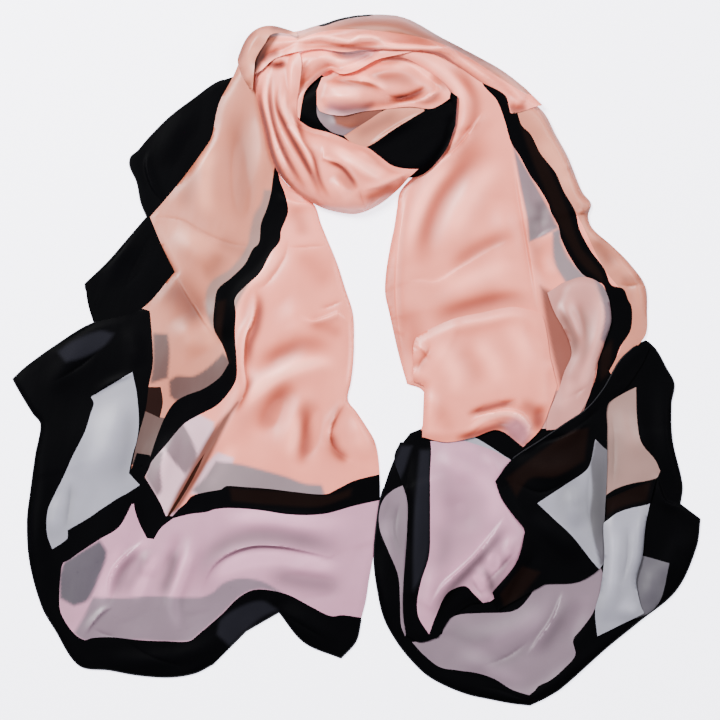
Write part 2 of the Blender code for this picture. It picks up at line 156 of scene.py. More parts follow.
def smooth_line(spots, step, closed=False):
    """A curve through board spots, with corners kept where it turns sharply."""
    points = [place(*spot) for spot in spots]
    if closed:
        points.append(points[0])
    breaks = [0]
    for k in range(1, len(points) - 1):
        a, b = points[k] - points[k - 1], points[k + 1] - points[k]
        turn = abs(math.atan2(a[0] * b[1] - a[1] * b[0], a @ b))
        if turn > SHARP_TURN:
            breaks.append(k)
    breaks.append(len(points) - 1)
    curve = [points[0]]
    for start, end in zip(breaks, breaks[1:]):
        curve += smooth_run(points[start:end + 1], step)[1:]
    return np.array(curve[:-1] if closed else curve)


print("corners are turns above", round(math.degrees(SHARP_TURN)), "degrees")

# %% [markdown]
# ## Inside an outline, beside a path
# Of every point of a sheet two things are asked: whether it lies inside an outline, such as
# that of a printed band, and how far it is from a path, such as a fold.

# %% Inside an outline, beside a path
VERY_FAR = 1e9
NO_LENGTH = 1e-14  # keeps a path of one point from a division by zero


def inside(points, outline):
    """Which points lie inside a closed outline."""
    x, y = points[:, 0], points[:, 1]
    result = np.zeros(len(points), bool)
    for (x0, y0), (x1, y1) in zip(outline, np.roll(outline, -1, axis=0)):
        if y0 != y1:
            crosses = (y0 > y) != (y1 > y)
            result ^= crosses & (x < (x1 - x0) * (y - y0) / (y1 - y0) + x0)
    return result


def beside_path(points, path):
    """For each point: distance to a path, how far along it that is (0 to 1), and its side."""
    distance = np.full(len(points), VERY_FAR)
    along = np.zeros(len(points))
    side = np.zeros(len(points))
    lengths = np.linalg.norm(np.diff(path, axis=0), axis=1)
    before = np.concatenate([[0], np.cumsum(lengths)])
    for k, (start, end) in enumerate(zip(path, path[1:])):
        run = end - start
        size = max(run @ run, NO_LENGTH)
        t = (((points - start) @ run) / size).clip(0, 1)
        off = points - start - t[:, None] * run
        far = np.sqrt((off ** 2).sum(axis=1))
        near = far < distance
        distance[near] = far[near]
        along[near] = (before[k] + t[near] * lengths[k]) / before[-1]
        side[near] = np.sign(run[1] * off[near, 0] - run[0] * off[near, 1])
    return distance, along, side


example = beside_path(np.array([place(9, 0)]), np.array([place(5, 10), place(15, 10)]))
print("a spot 10 rulings off a path is", round(example[0][0] / MM, 1), "mm beside it")

# %% [markdown]
# ## The pile
# Cloth lies on cloth. A square grid keeps the height of all that is laid so far. A new
# stretch asks it for the height to clear: the highest cloth near each point, falling away
# from it no steeper than satin drapes, and smoothed as a soft sheet bridges an edge.

# %% The pile
PILE_STEP = 2.0 * MM  # spacing of the spots where the pile keeps its height
PILE_MARGIN = 40  # spots beyond the board
DRAPE_SLOPE = 1.5  # steepest fall of cloth over an edge
BRIDGE_TURNS = 4  # how often the edge is rounded off


class Pile:
    """The height of all cloth laid so far, on a square grid of spots."""

    def __init__(self):
        self.count = int(BOARD_SIDE / PILE_STEP) + PILE_MARGIN
        self.height = np.zeros((self.count, self.count))

    def spread(self, height, turns, fall):
        """Widen what is high by one spot a turn, each spot lower than the last."""
        for turn in range(turns):
            wider = height.copy()
            for axis in (0, 1):
                for way in (-1, 1):
                    wider = np.maximum(wider, np.roll(height, way, axis) - fall)
            if turn % 2:
                for way_x in (-1, 1):
                    for way_y in (-1, 1):
                        slanted = np.roll(height, (way_x, way_y), (0, 1)) - fall * math.sqrt(2)
                        wider = np.maximum(wider, slanted)
            height = wider
        return height

    def soften(self, height, turns):
        """Round off the heights."""
        for _ in range(turns):
            for axis in (0, 1):
                height = (np.roll(height, 1, axis) + 2 * height + np.roll(height, -1, axis)) / 4
        return height

    def support(self, points, reach):
        """Height that cloth with this mesh step has to clear at each point."""
        cells = int(reach / PILE_STEP) + 1
        wide = self.spread(self.height, cells + 2, 0.0)
        fall = DRAPE_SLOPE * PILE_STEP
        draped = self.spread(wide, int(wide.max() / fall) + 1, fall).clip(0)
        draped = np.maximum(self.soften(draped, BRIDGE_TURNS),
                            self.spread(self.height, cells, 0.0))
        spots = points / PILE_STEP + self.count // 2
        low = np.floor(spots).astype(int).clip(1, self.count - 3)
        part = (spots - low).clip(0, 1)
        i, j = low[:, 0], low[:, 1]
        u, v = part[:, 0], part[:, 1]
        return (draped[i, j] * (1 - u) * (1 - v) + draped[i + 1, j] * u * (1 - v)
                + draped[i, j + 1] * (1 - u) * v + draped[i + 1, j + 1] * u * v)

    def add(self, corners):
        """Raise the pile to these triangles."""
        parts = 2 if COARSE == 1 else 4
        weights = [(i, j, parts - i - j) for i in range(parts + 1) for j in range(parts + 1 - i)]
        spread = np.einsum("wc,tcx->twx", np.array(weights) / parts, corners).reshape(-1, 3)
        spots = np.rint(spread[:, :2] / PILE_STEP).astype(int) + self.count // 2
        spots = spots.clip(1, self.count - 2)
        np.maximum.at(self.height, (spots[:, 0], spots[:, 1]), spread[:, 2])


pile = Pile()
print("pile of", pile.count, "by", pile.count, "spots")

# %% [markdown]
# ## The tables of a stretch
# A stretch is a table of sections (a point on its left edge, one on its right edge and how
# high it stands between them), then its folds, its shades and its print. Satin does three
# things: it rises in soft swells, it turns over sharply at a lip, and it pinches into a
# valley. Where its threads turn from the light it looks darker, and where they face it paler;
# the table of shades paints those streaks along the folds into the colour, as painted shade,
# and below 0 as painted highlight. Of prints that overlap, the last one shows.

# %% Tables
Section = namedtuple("Section", "left_x left_y right_x right_y lift")
Fold = namedtuple("Fold", "kind width height path")
# A shade is painted shade along a path, in the colour of the cloth; below 0 it is painted
# highlight.
Shade = namedtuple("Shade", "width depth path")
Print = namedtuple("Print", "dye outline")
Stretch = namedtuple("Stretch", "node dye slot step edge_round waves sections folds shades prints",
                     defaults=((), (), ()))


def rows(kind, *table):
    """The rows of a table, each as a named record."""
    return [kind(*row) for row in table]


def tell(*stretches):
    """Print how long the tables of these stretches are."""
    for stretch in stretches:
        print(stretch.node, {field: len(getattr(stretch, field))
                             for field in ("sections", "folds", "shades", "prints")})


print("a stretch is made of", ", ".join(Stretch._fields))

# %% [markdown]
# ## The mesh plan of a sheet
# A grid of squares would cut a printed band or a sharp crease into steps. So the sheet is
# triangulated inside its outline, with the edges of the bands and the creases as fixed lines:
# every triangle then has one dye, and a band ends as sharply as a real print. Between those
# lines the points stand in an even lattice, closer together beside a crease.

# %% Points of a sheet
CLEAR_OF_EDGE = 0.5  # least distance from a fixed line, in steps of the mesh
SAME_SPOT = 0.6  # points of two creases nearer than this many steps are one
PATH_STEP = 3 * MM  # step of a path that is only measured from


def lattice(low, high, step):
    """Points in rows, every other row shifted, so that they make even triangles."""
    lines = []
    for k, y in enumerate(np.arange(low[1], high[1], step * math.sqrt(3) / 2)):
        x = np.arange(low[0] + (k % 2) * step / 2, high[0], step)
        lines.append(np.column_stack([x, np.full(len(x), y)]))
    return np.vstack(lines)


def outline_of(stretch):
    """The two long edges of a sheet, and its whole outline."""
    left = smooth_line([(s.left_x, s.left_y) for s in stretch.sections], stretch.step)
    right = smooth_line([(s.right_x, s.right_y) for s in stretch.sections], stretch.step)
    last_row = np.array(smooth_run([left[-1], right[-1]], stretch.step))[1:-1]
    first_row = np.array(smooth_run([right[0], left[0]], stretch.step))[1:-1]
    return left, right, np.vstack([left, last_row, right[::-1], first_row])


def grid_inside(outline, creases, step):
    """The inner points of a sheet: an even lattice, finer beside its sharp creases."""
    low, high = outline.min(axis=0), outline.max(axis=0)
    closed = np.vstack([outline, outline[:1]])
    base = lattice(low, high, step)
    base = base[inside(base, outline)]
    base = base[beside_path(base, closed)[0] > CLEAR_OF_EDGE * step]
    parts = []
    for crease in creases:
        base = base[beside_path(base, crease)[0] > CREASE_REACH]
        fine = lattice(crease.min(axis=0) - CREASE_REACH, crease.max(axis=0) + CREASE_REACH,
                       CREASE_STEP)
        fine = fine[beside_path(fine, crease)[0] < CREASE_REACH]
        fine = fine[inside(fine, outline)]
        fine = fine[beside_path(fine, closed)[0] > CLEAR_OF_EDGE * step]
        parts.append(fine)
    for crease in creases:
        parts = [fine[beside_path(fine, crease)[0] > CLEAR_OF_EDGE * CREASE_STEP]
                 for fine in parts]
    if parts:
        cells = np.rint(np.vstack(parts) / (SAME_SPOT * CREASE_STEP)).astype(int)
        first = np.unique(cells, axis=0, return_index=True)[1]
        base = np.vstack([base, np.vstack(parts)[np.sort(first)]])
    return base


print("mesh steps", round(TAIL_STEP / MM, 1), "to", round(CREASE_STEP / MM, 1), "mm")

# %% Triangles of a sheet
MERGE = 1e-6  # metres: points nearer than this become one
SLIVER = 1e-12  # square metres: a smaller triangle is left out


def sheet_plan(stretch):
    """Points and triangles of a sheet, as seen from above, and its two long edges."""
    left, right, outline = outline_of(stretch)
    creases = [smooth_line(fold.path, 2 * MM) for fold in stretch.folds if fold.kind != "swell"]
    loops = [smooth_line(shape.outline, stretch.step, closed=True)
             for shape in stretch.prints if not DYES[shape.dye].blur]
    points = [outline, grid_inside(outline, creases, stretch.step)]
    edges = [(k, (k + 1) % len(outline)) for k in range(len(outline))]
    count = len(points[0]) + len(points[1])
    for line, closed in [(loop, 1) for loop in loops] + [(crease, 0) for crease in creases]:
        points.append(line)
        edges += [(count + k, count + (k + 1) % len(line))
                  for k in range(len(line) - 1 + closed)]
        count += len(line)
    found = delaunay_2d_cdt([Vector(p) for p in np.vstack(points)], edges, [], 0, MERGE)
    points = np.array([tuple(p) for p in found[0]])
    triangles = np.array([face for face in found[2] if len(face) == 3])
    triangles = triangles[inside(points[triangles].mean(axis=1), outline)]
    a, b, c = (points[triangles[:, k]] for k in range(3))
    turn = (b - a)[:, 0] * (c - a)[:, 1] - (b - a)[:, 1] * (c - a)[:, 0]
    triangles[turn < 0] = triangles[turn < 0][:, ::-1]
    triangles = triangles[np.abs(turn) > SLIVER]
    used, triangles = np.unique(triangles, return_inverse=True)
    return points[used], triangles.reshape(-1, 3), left, right


print("triangles are kept above", SLIVER / MM ** 2, "square mm")

# %% [markdown]
# ## The print
# A crisp print takes whole triangles, because its edge is an edge of the mesh. A soft one is
# mixed in by how deep each point lies inside it. It is mixed only with dyes that are as light
# or as dark as itself, so that a smoky tone never greys the black band beside it.

# %% The print of a sheet


def printed(stretch, points, triangles):
    """The tone at each triangle's corners, and which triangles carry a dark dye."""
    middles = points[triangles].mean(axis=1)
    tones = np.tile(TONES[stretch.dye], (len(triangles), 3, 1))
    dark = np.full(len(triangles), DYES[stretch.dye].dark)
    for shape in stretch.prints:
        dye, tone = DYES[shape.dye], TONES[shape.dye]
        loop = smooth_line(shape.outline, stretch.step, closed=True)
        if dye.blur:
            distance = beside_path(points, np.vstack([loop, loop[:1]]))[0] / (dye.blur * MM)
            depth = np.where(inside(points, loop), distance, -distance).clip(-1, 1)
            share = (0.5 + 0.75 * depth - 0.25 * depth ** 3)[triangles]
            share[dark != dye.dark] = 0.0
            tones += share[:, :, None] * (tone - tones)
        else:
            covered = inside(middles, loop)
            tones[covered] = tone
            dark[covered] = dye.dark
    return tones, dark


print("soft dyes:", ", ".join(name for name, dye in DYES.items() if dye.blur))

# %% [markdown]
# ## Heights
# A lip stands up on the right of its path, seen along the path, and drops steeply on the
# left. A valley is pinched to a line. All folds fade at their ends, as a fold in cloth that
# lies loose does.

# %% The shape of one fold
FADE = 0.42  # share of a fold's length over which its ends die away
BELL = 1.6  # how soon a swell falls off, across it
PINCH = 1.3  # how soon a valley does
STEEP = 1.7 * MM  # width of the steep side of a lip
UNDERCUT = 7.0 * MM  # width of the hollow below a lip
HOLLOW = 0.3  # and its depth, as a share of the lip
SPREAD, LOWER = 1.3, 0.75  # on the tails satin is slack: swells are wider and lower
LOWER_LIP = 0.85  # and lips are a little lower


def fade_ends(along, fade):
    """1 along the middle of a fold, falling softly to 0 at both of its ends."""
    share = (np.minimum(along, 1 - along) / fade).clip(0, 1)
    return share * share * (3 - 2 * share)


def bell(distance, width):
    """1 on a path, falling off on both sides of it."""
    return np.exp(-(distance / width) ** 2 * BELL)


def fold_height(fold, points, slack):
    """What one fold adds to the height of each point."""
    distance, along, side = beside_path(points, smooth_line(fold.path, PATH_STEP))
    width = fold.width * MM
    if fold.kind == "swell":
        shape = LOWER * bell(distance, width * SPREAD) if slack else bell(distance, width)
    elif fold.kind == "valley":
        shape = np.exp(-distance / width * PINCH)
    else:
        drop = np.exp(-distance / STEEP)
        below = drop - HOLLOW * (1 - drop) * np.exp(-(distance / UNDERCUT) ** 2)
        shape = (LOWER_LIP if slack else 1.0) * np.where(side > 0, bell(distance, width), below)
    return fold.height * MM * shape * fade_ends(along, FADE)


print("a lip drops within", round(STEEP / MM, 1), "mm")

# %% The heights of a sheet
WAVES = 7  # long waves that make the faint unevenness of lying cloth
WAVE_LENGTH = (0.09, 0.22)
ROUND_SHARE = 0.85  # a high stretch is rounded at its edge over this share of its lift
FOLD_AT_EDGE = 0.35  # share of a fold's height that is left at the edge
SHADE_SPREAD, SHADE_FADE = 1.3, 0.3


def unevenness(points, seed):
    """A faint swell of the cloth: a few long waves that cross at odd angles."""
    chance = np.random.default_rng(seed)
    total = np.zeros(len(points))
    for _ in range(WAVES):
        length = chance.uniform(*WAVE_LENGTH)
        angle = chance.uniform(0, math.pi)
        phase = chance.uniform(0, 2 * math.pi)
        across = points @ np.array([math.cos(angle), math.sin(angle)])
        bend = 0.02 * np.sin(points @ np.array([-math.sin(angle), math.cos(angle)]) * 18 + phase)
        total += np.sin((across + bend) * 2 * math.pi / length + phase) / WAVES
    return total * 2


def lift_of(stretch, points):
    """How high the stretch stands, from its sections, at each point along it."""
    middle = smooth_line([((s.left_x + s.right_x) / 2, (s.left_y + s.right_y) / 2)
                          for s in stretch.sections], 8 * MM)
    share = beside_path(points, middle)[1]
    reach = np.linalg.norm(np.diff(middle, axis=0), axis=1).cumsum()
    marks = [np.linalg.norm(middle - (place(s.left_x, s.left_y) + place(s.right_x, s.right_y)) / 2,
                            axis=1).argmin() for s in stretch.sections]
    stations = [reach[max(m - 1, 0)] / reach[-1] if m else 0.0 for m in marks]
    return np.interp(share, stations, [s.lift for s in stretch.sections]) * MM


def own_shape(stretch, points, left, right, seed):
    """The lift of the stretch, rounded down to the table at its long edges, and its folds."""
    lift = lift_of(stretch, points)
    edge = np.minimum(beside_path(points, left)[0], beside_path(points, right)[0])
    radius = np.maximum(stretch.edge_round * MM, ROUND_SHARE * lift)
    inward = (edge / radius).clip(0, 1)
    dome = lift * np.sqrt(1 - (1 - inward) ** 2)
    relief = stretch.waves * MM * unevenness(points, seed) * inward
    kept = FOLD_AT_EDGE + (1 - FOLD_AT_EDGE) * inward
    for fold in stretch.folds:
        relief += fold_height(fold, points, stretch.step >= TAIL_STEP) * kept
    return dome, relief


def shade_of(stretch, points):
    """How much painted shade (or, below 0, painted highlight) the colour gets along the folds."""
    tone = np.zeros(len(points))
    for shade in stretch.shades:
        distance, along, _ = beside_path(points, smooth_line(shade.path, PATH_STEP))
        tone += (shade.depth * bell(distance, shade.width * SHADE_SPREAD * MM)
                 * fade_ends(along, SHADE_FADE))
    return tone


print("faint waves of", WAVE_LENGTH[0], "to", WAVE_LENGTH[1], "m")

# %% [markdown]
# ## The satin
# Polyester charmeuse: long floating threads make one side glossy across their run, and the
# dye is printed. Colour and roughness could come from image textures. Here they come from
# the "print" attribute that every sheet carries, because it is as sharp as the mesh; its
# colour holds the painted shade and highlight of the folds as well as the dye. Fine
# ripples and the thread lines are bump. Threads are about 0.1 mm apart, too fine for the
# picture, so they are drawn at 0.9 mm.

# %% A material and its nodes
WAVE_BAND = 0.314  # spacing of a Wave texture's bands at a scale of 1


def blank_material(name):
    """A new material with its node tree and its shader."""
    material = bpy.data.materials.new(name)
    material.use_nodes = True
    return material, material.node_tree, material.node_tree.nodes["Principled BSDF"]


def node(tree, kind, settings=None, **links):
    """Add a node, set its own settings, and feed its inputs with values or sockets.

    An input goes by its name, with _ for a space, or by its number, as in _0.
    """
    made = tree.nodes.new(kind)
    for name, value in (settings or {}).items():
        setattr(made, name, value)
    for name, value in links.items():
        key = int(name[1:]) if name[0] == "_" else name.replace("_", " ")
        if isinstance(value, bpy.types.NodeSocket):
            tree.links.new(value, made.inputs[key])
        else:
            made.inputs[key].default_value = value
    return made


print("a Wave texture repeats every", WAVE_BAND, "m at scale 1")

# %% The satin material
THREAD = 0.9 * MM
RIPPLE = 22 * MM  # length of the faint ripples along the threads
MOTTLE = 60 * MM  # size of the clouds where dye and gloss vary a little


def satin(name, anisotropy, sheen, bump, gloss):
    """Printed satin: colour and roughness from the print, ripples and threads as bump."""
    material, tree, shader = blank_material(name)
    # the print attribute: the dye, with the painted shade and highlight of the folds in it
    dye = node(tree, "ShaderNodeAttribute", {"attribute_name": "print"})
    weave = node(tree, "ShaderNodeUVMap", {"uv_map": "weave"})
    place_of = node(tree, "ShaderNodeTexCoord")
    cloud = node(tree, "ShaderNodeTexNoise", Vector=place_of.outputs["Object"],
                 Scale=1 / MOTTLE, Detail=2.0)
    mottle = node(tree, "ShaderNodeMapRange", Value=cloud.outputs["Fac"],
                  From_Min=0.3, From_Max=0.7, To_Min=0.93, To_Max=1.06)
    coloured = node(tree, "ShaderNodeHueSaturation", Color=dye.outputs["Color"],
                    Value=mottle.outputs["Result"])
    tree.links.new(coloured.outputs["Color"], shader.inputs["Base Color"])
    rough = node(tree, "ShaderNodeMath", {"operation": "MULTIPLY"},
                 _0=dye.outputs["Alpha"], _1=mottle.outputs["Result"])
    tree.links.new(rough.outputs["Value"], shader.inputs["Roughness"])
    threads = node(tree, "ShaderNodeTexWave", {"bands_direction": "Y"},
                   Vector=weave.outputs["UV"], Scale=WAVE_BAND / THREAD, Distortion=0.6,
                   Detail=1.0)
    stretched = node(tree, "ShaderNodeMapping", Vector=weave.outputs["UV"],
                     Scale=(0.3, 1.0, 1.0))
    ripples = node(tree, "ShaderNodeTexNoise", Vector=stretched.outputs["Vector"],
                   Scale=1 / RIPPLE, Detail=2.0, Roughness=0.4)
    soft = node(tree, "ShaderNodeBump", Height=ripples.outputs["Fac"],
                Strength=bump, Distance=1.6 * MM)
    fine = node(tree, "ShaderNodeBump", Height=threads.outputs["Fac"], Strength=0.12,
                Distance=0.05 * MM, Normal=soft.outputs["Normal"])
    tree.links.new(fine.outputs["Normal"], shader.inputs["Normal"])
    run = node(tree, "ShaderNodeTangent", {"direction_type": "UV_MAP", "uv_map": "weave"})
    tree.links.new(run.outputs["Tangent"], shader.inputs["Tangent"])
    shader.inputs["Anisotropic"].default_value = anisotropy
    shader.inputs["Sheen Weight"].default_value = sheen
    shader.inputs["Sheen Roughness"].default_value = 0.4
    shader.inputs["Specular IOR Level"].default_value = gloss
    return material


LIGHT_SATIN = satin("printed_polyester_satin", anisotropy=0.4, sheen=0.05, bump=0.3, gloss=0.6)
DARK_SATIN = satin("black_printed_satin", anisotropy=0.3, sheen=0.0, bump=0.3, gloss=0.012)
print("satin with threads at", round(THREAD / MM, 2), "mm")

# %% [markdown]
# ## Laying one sheet
# Each point of a sheet comes to rest on the pile or stands on its own folds, whichever is
# higher. The shell is then raised straight above it, by more where it is steep, so that the
# cloth keeps its thickness.

# %% The heights where a sheet comes to rest
STEEPEST = 0.45  # least upright part of a normal where the shell is measured
BARE_TABLE = 0.05 * MM  # a lower pile than this is the table itself
laid = {}  # node name: the sheet's two long edges in space, and its area


def neighbour_mean(values, pairs, turns):
    """Values averaged with those of the neighbouring points, so many times over."""
    count = len(values)
    number = np.bincount(pairs.ravel(), minlength=count).clip(1)
    for _ in range(turns):
        total = np.bincount(pairs[:, 0], values[pairs[:, 1]], count)
        total += np.bincount(pairs[:, 1], values[pairs[:, 0]], count)
        values = 0.5 * values + 0.5 * total / number
    return values


def upright(points, heights, triangles):
    """How far the normal at each point stands upright: 1 on flat cloth, 0 on a wall."""
    corners = np.column_stack([points, heights])[triangles]
    normals = np.cross(corners[:, 1] - corners[:, 0], corners[:, 2] - corners[:, 0])
    sums = np.zeros((len(points), 3))
    for axis in range(3):
        for corner in range(3):
            sums[:, axis] += np.bincount(triangles[:, corner], normals[:, axis], len(points))
    return sums[:, 2] / np.maximum(np.linalg.norm(sums, axis=1), 1e-15)


def rest_on_pile(stretch, points, triangles, pairs, left, right):
    """The heights of the lower and of the upper side of a sheet, added to the pile."""
    dome, relief = own_shape(stretch, points, left, right, len(laid) + 5)
    clear = pile.support(points, stretch.step)
    clear = np.where(clear > BARE_TABLE, clear + LAY_GAP, 0.0)
    base = neighbour_mean(np.maximum(dome, clear), pairs, 3)
    under = np.maximum(base + relief, clear)
    over = under + CLOTH / np.maximum(upright(points, under, triangles), STEEPEST)
    pile.add(np.column_stack([points, over])[triangles])
    return under, over


print("a shell of", round(CLOTH / MM, 1), "mm, with", round(LAY_GAP / MM, 1), "mm below it")

# %% [markdown]
# ## The shell and its print
# The sheet becomes a closed mesh: an upper side, a lower side and a wall round the rim. Its
# print, with the painted shade and highlight in it, is stored at the corners of the faces.

# %% The shell of a sheet


def shell(name, points, triangles, edges, under, over):
    """The mesh of a sheet, and the edges round its rim."""
    count = len(points)
    rim = set(map(tuple, edges.tolist()))
    sides = sorted((a, b) for a, b in rim if (b, a) not in rim)
    vertices = np.vstack([np.column_stack([points, over]), np.column_stack([points, under])])
    faces = triangles.tolist() + (triangles[:, ::-1] + count).tolist()
    faces += [(a + count, b + count, b, a) for a, b in sides]
    mesh = bpy.data.meshes.new(name)
    mesh.from_pydata(vertices.tolist(), [], faces)
    mesh.update()
    return mesh, sides


def store_print(mesh, tones, dark, edges, sides):
    """Keep the print at the corners of the faces, and give each face its satin."""
    owner = {(a, b): k for k, (a, b) in enumerate(edges.tolist())}
    owners = [owner[side] % len(tones) for side in sides]
    wall_tones = np.repeat(tones[owners, 0], 4, axis=0)
    values = np.vstack([tones.reshape(-1, 4), tones[:, ::-1].reshape(-1, 4), wall_tones])
    layer = mesh.attributes.new("print", "FLOAT_COLOR", "CORNER")
    layer.data.foreach_set("color", values.astype(np.float32).ravel())
    for material in (LIGHT_SATIN, DARK_SATIN):
        mesh.materials.append(material)
    dull = np.concatenate([dark, dark, dark[owners]]).astype(np.int32)
    mesh.polygons.foreach_set("material_index", dull)


def run_threads(mesh, points, grain):
    """A UV map of the flat cloth, in metres and turned to the grain."""
    turned = points @ np.array([[math.cos(grain), -math.sin(grain)],
                                [math.sin(grain), math.cos(grain)]])
    flat = np.vstack([turned, turned])
    uv = mesh.uv_layers.new(name="weave")
    corners = np.empty(len(mesh.loops), dtype=np.int32)
    mesh.loops.foreach_get("vertex_index", corners)
    uv.data.foreach_set("uv", flat[corners].astype(np.float32).ravel())


print("each sheet is given the materials", LIGHT_SATIN.name, "and", DARK_SATIN.name)

# %% [markdown]
# ## Painted shade in hollows
# Light bounces in a hollow and little of it gets out, so a hollow looks darker and a warm dye
# richer. That shade is painted into the colour of the print, and ridges are painted paler.

# %% Painted shade in hollows
# Painted shade: a hollow, or a positive shade, makes the colour darker and a warm dye richer; a
# ridge, or a negative shade, makes it paler, as a painted highlight.
MEAN_TURNS = 24  # a hollow is what lies below the mean of its surroundings
HOLLOW_SHADE = 0.4  # deeper tone for each mm of hollow
RICHER, DARKER = 1.16, 0.74  # power and factor for each step of depth
BRIGHTEST = 1.35  # the most that a ridge may brighten a dye
AMBER = np.array([1.0, 1.0, 0.9])  # the turn of a warm dye, for each step
DEEPEST_HUE = 4.5  # beyond this depth a dye turns no warmer
DULLER, DULLEST = 0.08, 0.9  # roughness for each step, and the most of it


def with_painted_shade(colour, depth):
    """The colour with painted shade, darker and a warm dye richer; below 0, painted highlight."""
    warmth = ((colour[:, :, :1] / colour[:, :, 2:].clip(1e-4) - 1.5) / 3).clip(0, 1)
    richer = RICHER ** (depth.clip(-2, DEEPEST_HUE) * warmth)
    amber = AMBER ** (depth.clip(0, DEEPEST_HUE) * warmth)
    return colour ** richer * amber * np.minimum(DARKER ** depth, BRIGHTEST)


def paint_shade_into_print(tones, stretch, points, triangles, pairs, over):
    """Paint shade into the print in hollows and along its shades, highlight on ridges; dull the
    shade.
    """
    below = (neighbour_mean(over, pairs, MEAN_TURNS) - over) / MM
    hollow = (below.clip(-1.0, 2.0) * HOLLOW_SHADE + shade_of(stretch, points)).clip(-2, 8)
    tones[:, :, :3] = with_painted_shade(tones[:, :, :3], hollow[triangles][:, :, None])
    tones[:, :, 3] = (tones[:, :, 3] + DULLER * hollow[triangles].clip(0, 5)).clip(0, DULLEST)


print("each step of depth leaves", DARKER, "of the light")

# %% [markdown]
# ## One sheet, from its table to its mesh
# This is the whole way of one stretch.

# %% Laying a sheet


def add_object(name, data):
    """Put a mesh, a light or a camera into the scene."""
    made = bpy.data.objects.new(name, data)
    bpy.context.collection.objects.link(made)
    return made


def edge_in_space(edge, points, over):
    """The points of an edge with the height of the cloth at each of them."""
    heights = [over[np.abs(points - spot).sum(axis=1).argmin()] for spot in edge]
    return np.column_stack([edge, heights])


def lay(stretch, grain):
    """Lay one stretch on the pile and return its shell."""
    points, triangles, left, right = sheet_plan(stretch)
    tones, dark = printed(stretch, points, triangles)
    edges = np.vstack([triangles[:, [0, 1]], triangles[:, [1, 2]], triangles[:, [2, 0]]])
    pairs = np.unique(np.sort(edges, axis=1), axis=0)
    under, over = rest_on_pile(stretch, points, triangles, pairs, left, right)
    mesh, sides = shell(stretch.node + "_cloth", points, triangles, edges, under, over)
    paint_shade_into_print(tones, stretch, points, triangles, pairs, over)
    store_print(mesh, tones, dark, edges, sides)
    run_threads(mesh, points, grain)
    mesh.shade_smooth()
    mesh.set_sharp_from_angle(angle=math.radians(75))
    piece = add_object(stretch.node + "_cloth", mesh)
    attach(piece, "root")
    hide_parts(stretch.node)
    a, b, c = (points[triangles[:, k]] for k in range(3))
    laid[stretch.node] = {"left": edge_in_space(left, points, over),
                          "right": edge_in_space(right, points, over),
                          "area": 0.5 * np.abs(np.cross(b - a, c - a)).sum()}
    print(stretch.node, len(mesh.polygons), "faces, top", round(over.max() / MM, 1), "mm")
    return piece


print("sheets laid so far:", len(laid))

# %% [markdown]
# ## Left tail: the layer underneath
# The left tail lies double. Of its lower layer only the black border shows, as two flaps that
# stick out beyond the fold of the upper layer.

# %% Left tail, lower layer
LEFT_UNDER_LAYER = Stretch(
    "left_under_layer", "black", "black_satin", TAIL_STEP, edge_round=4.0, waves=0.8,
    sections=rows(Section,
        (238, 75, 251, 82, 0), (216, 83, 254, 100, 0), (195, 98, 256, 118, 0),
        (170, 117, 254, 140, 0), (149, 138, 252, 158, 0), (138, 151, 250, 168, 0),
        (131, 157, 247, 180, 0), (130, 166, 245, 190, 0), (137, 182, 240, 212, 0),
        (141, 202, 238, 224, 0), (147, 217, 236, 236, 0), (128, 239, 232, 262, 0),
        (108, 262, 228, 285, 0), (85, 284, 218, 318, 0), (88, 305, 200, 340, 0),
        (96, 330, 178, 350, 0)),
    folds=rows(Fold,
        ("swell", 16, 3, [(200, 106), (172, 134), (160, 172)]),
        ("lip", 8, 2.5, [(166, 205), (152, 186), (146, 164), (150, 148)]),
        ("swell", 10, 2.5, [(138, 236), (116, 262), (106, 292)]),
        ("valley", 5, -1.2, [(152, 232), (140, 262), (122, 292)])))

LEFT_HIDDEN_LAYERS = Stretch(
    "left_hidden_layers", "peach", "peach_satin", 2 * TAIL_STEP, edge_round=8.0, waves=0.2,
    sections=rows(Section,
        (268, 236, 302, 228, 0), (262, 300, 322, 290, 0), (225, 372, 332, 350, 0),
        (180, 430, 330, 420, 0), (162, 500, 352, 480, 0), (128, 570, 350, 545, 0),
        (112, 618, 338, 588, 0)))
tell(LEFT_UNDER_LAYER, LEFT_HIDDEN_LAYERS)

# %% [markdown]
# ## Left tail: the layer on top
# This is the largest stretch: the beige side strip, the black lengthwise band, the peach
# middle, the cross band, the lilac end and the silver-grey corner, with the black border all
# round. Smoky shapes are where the black bands of the lower layer shine through.

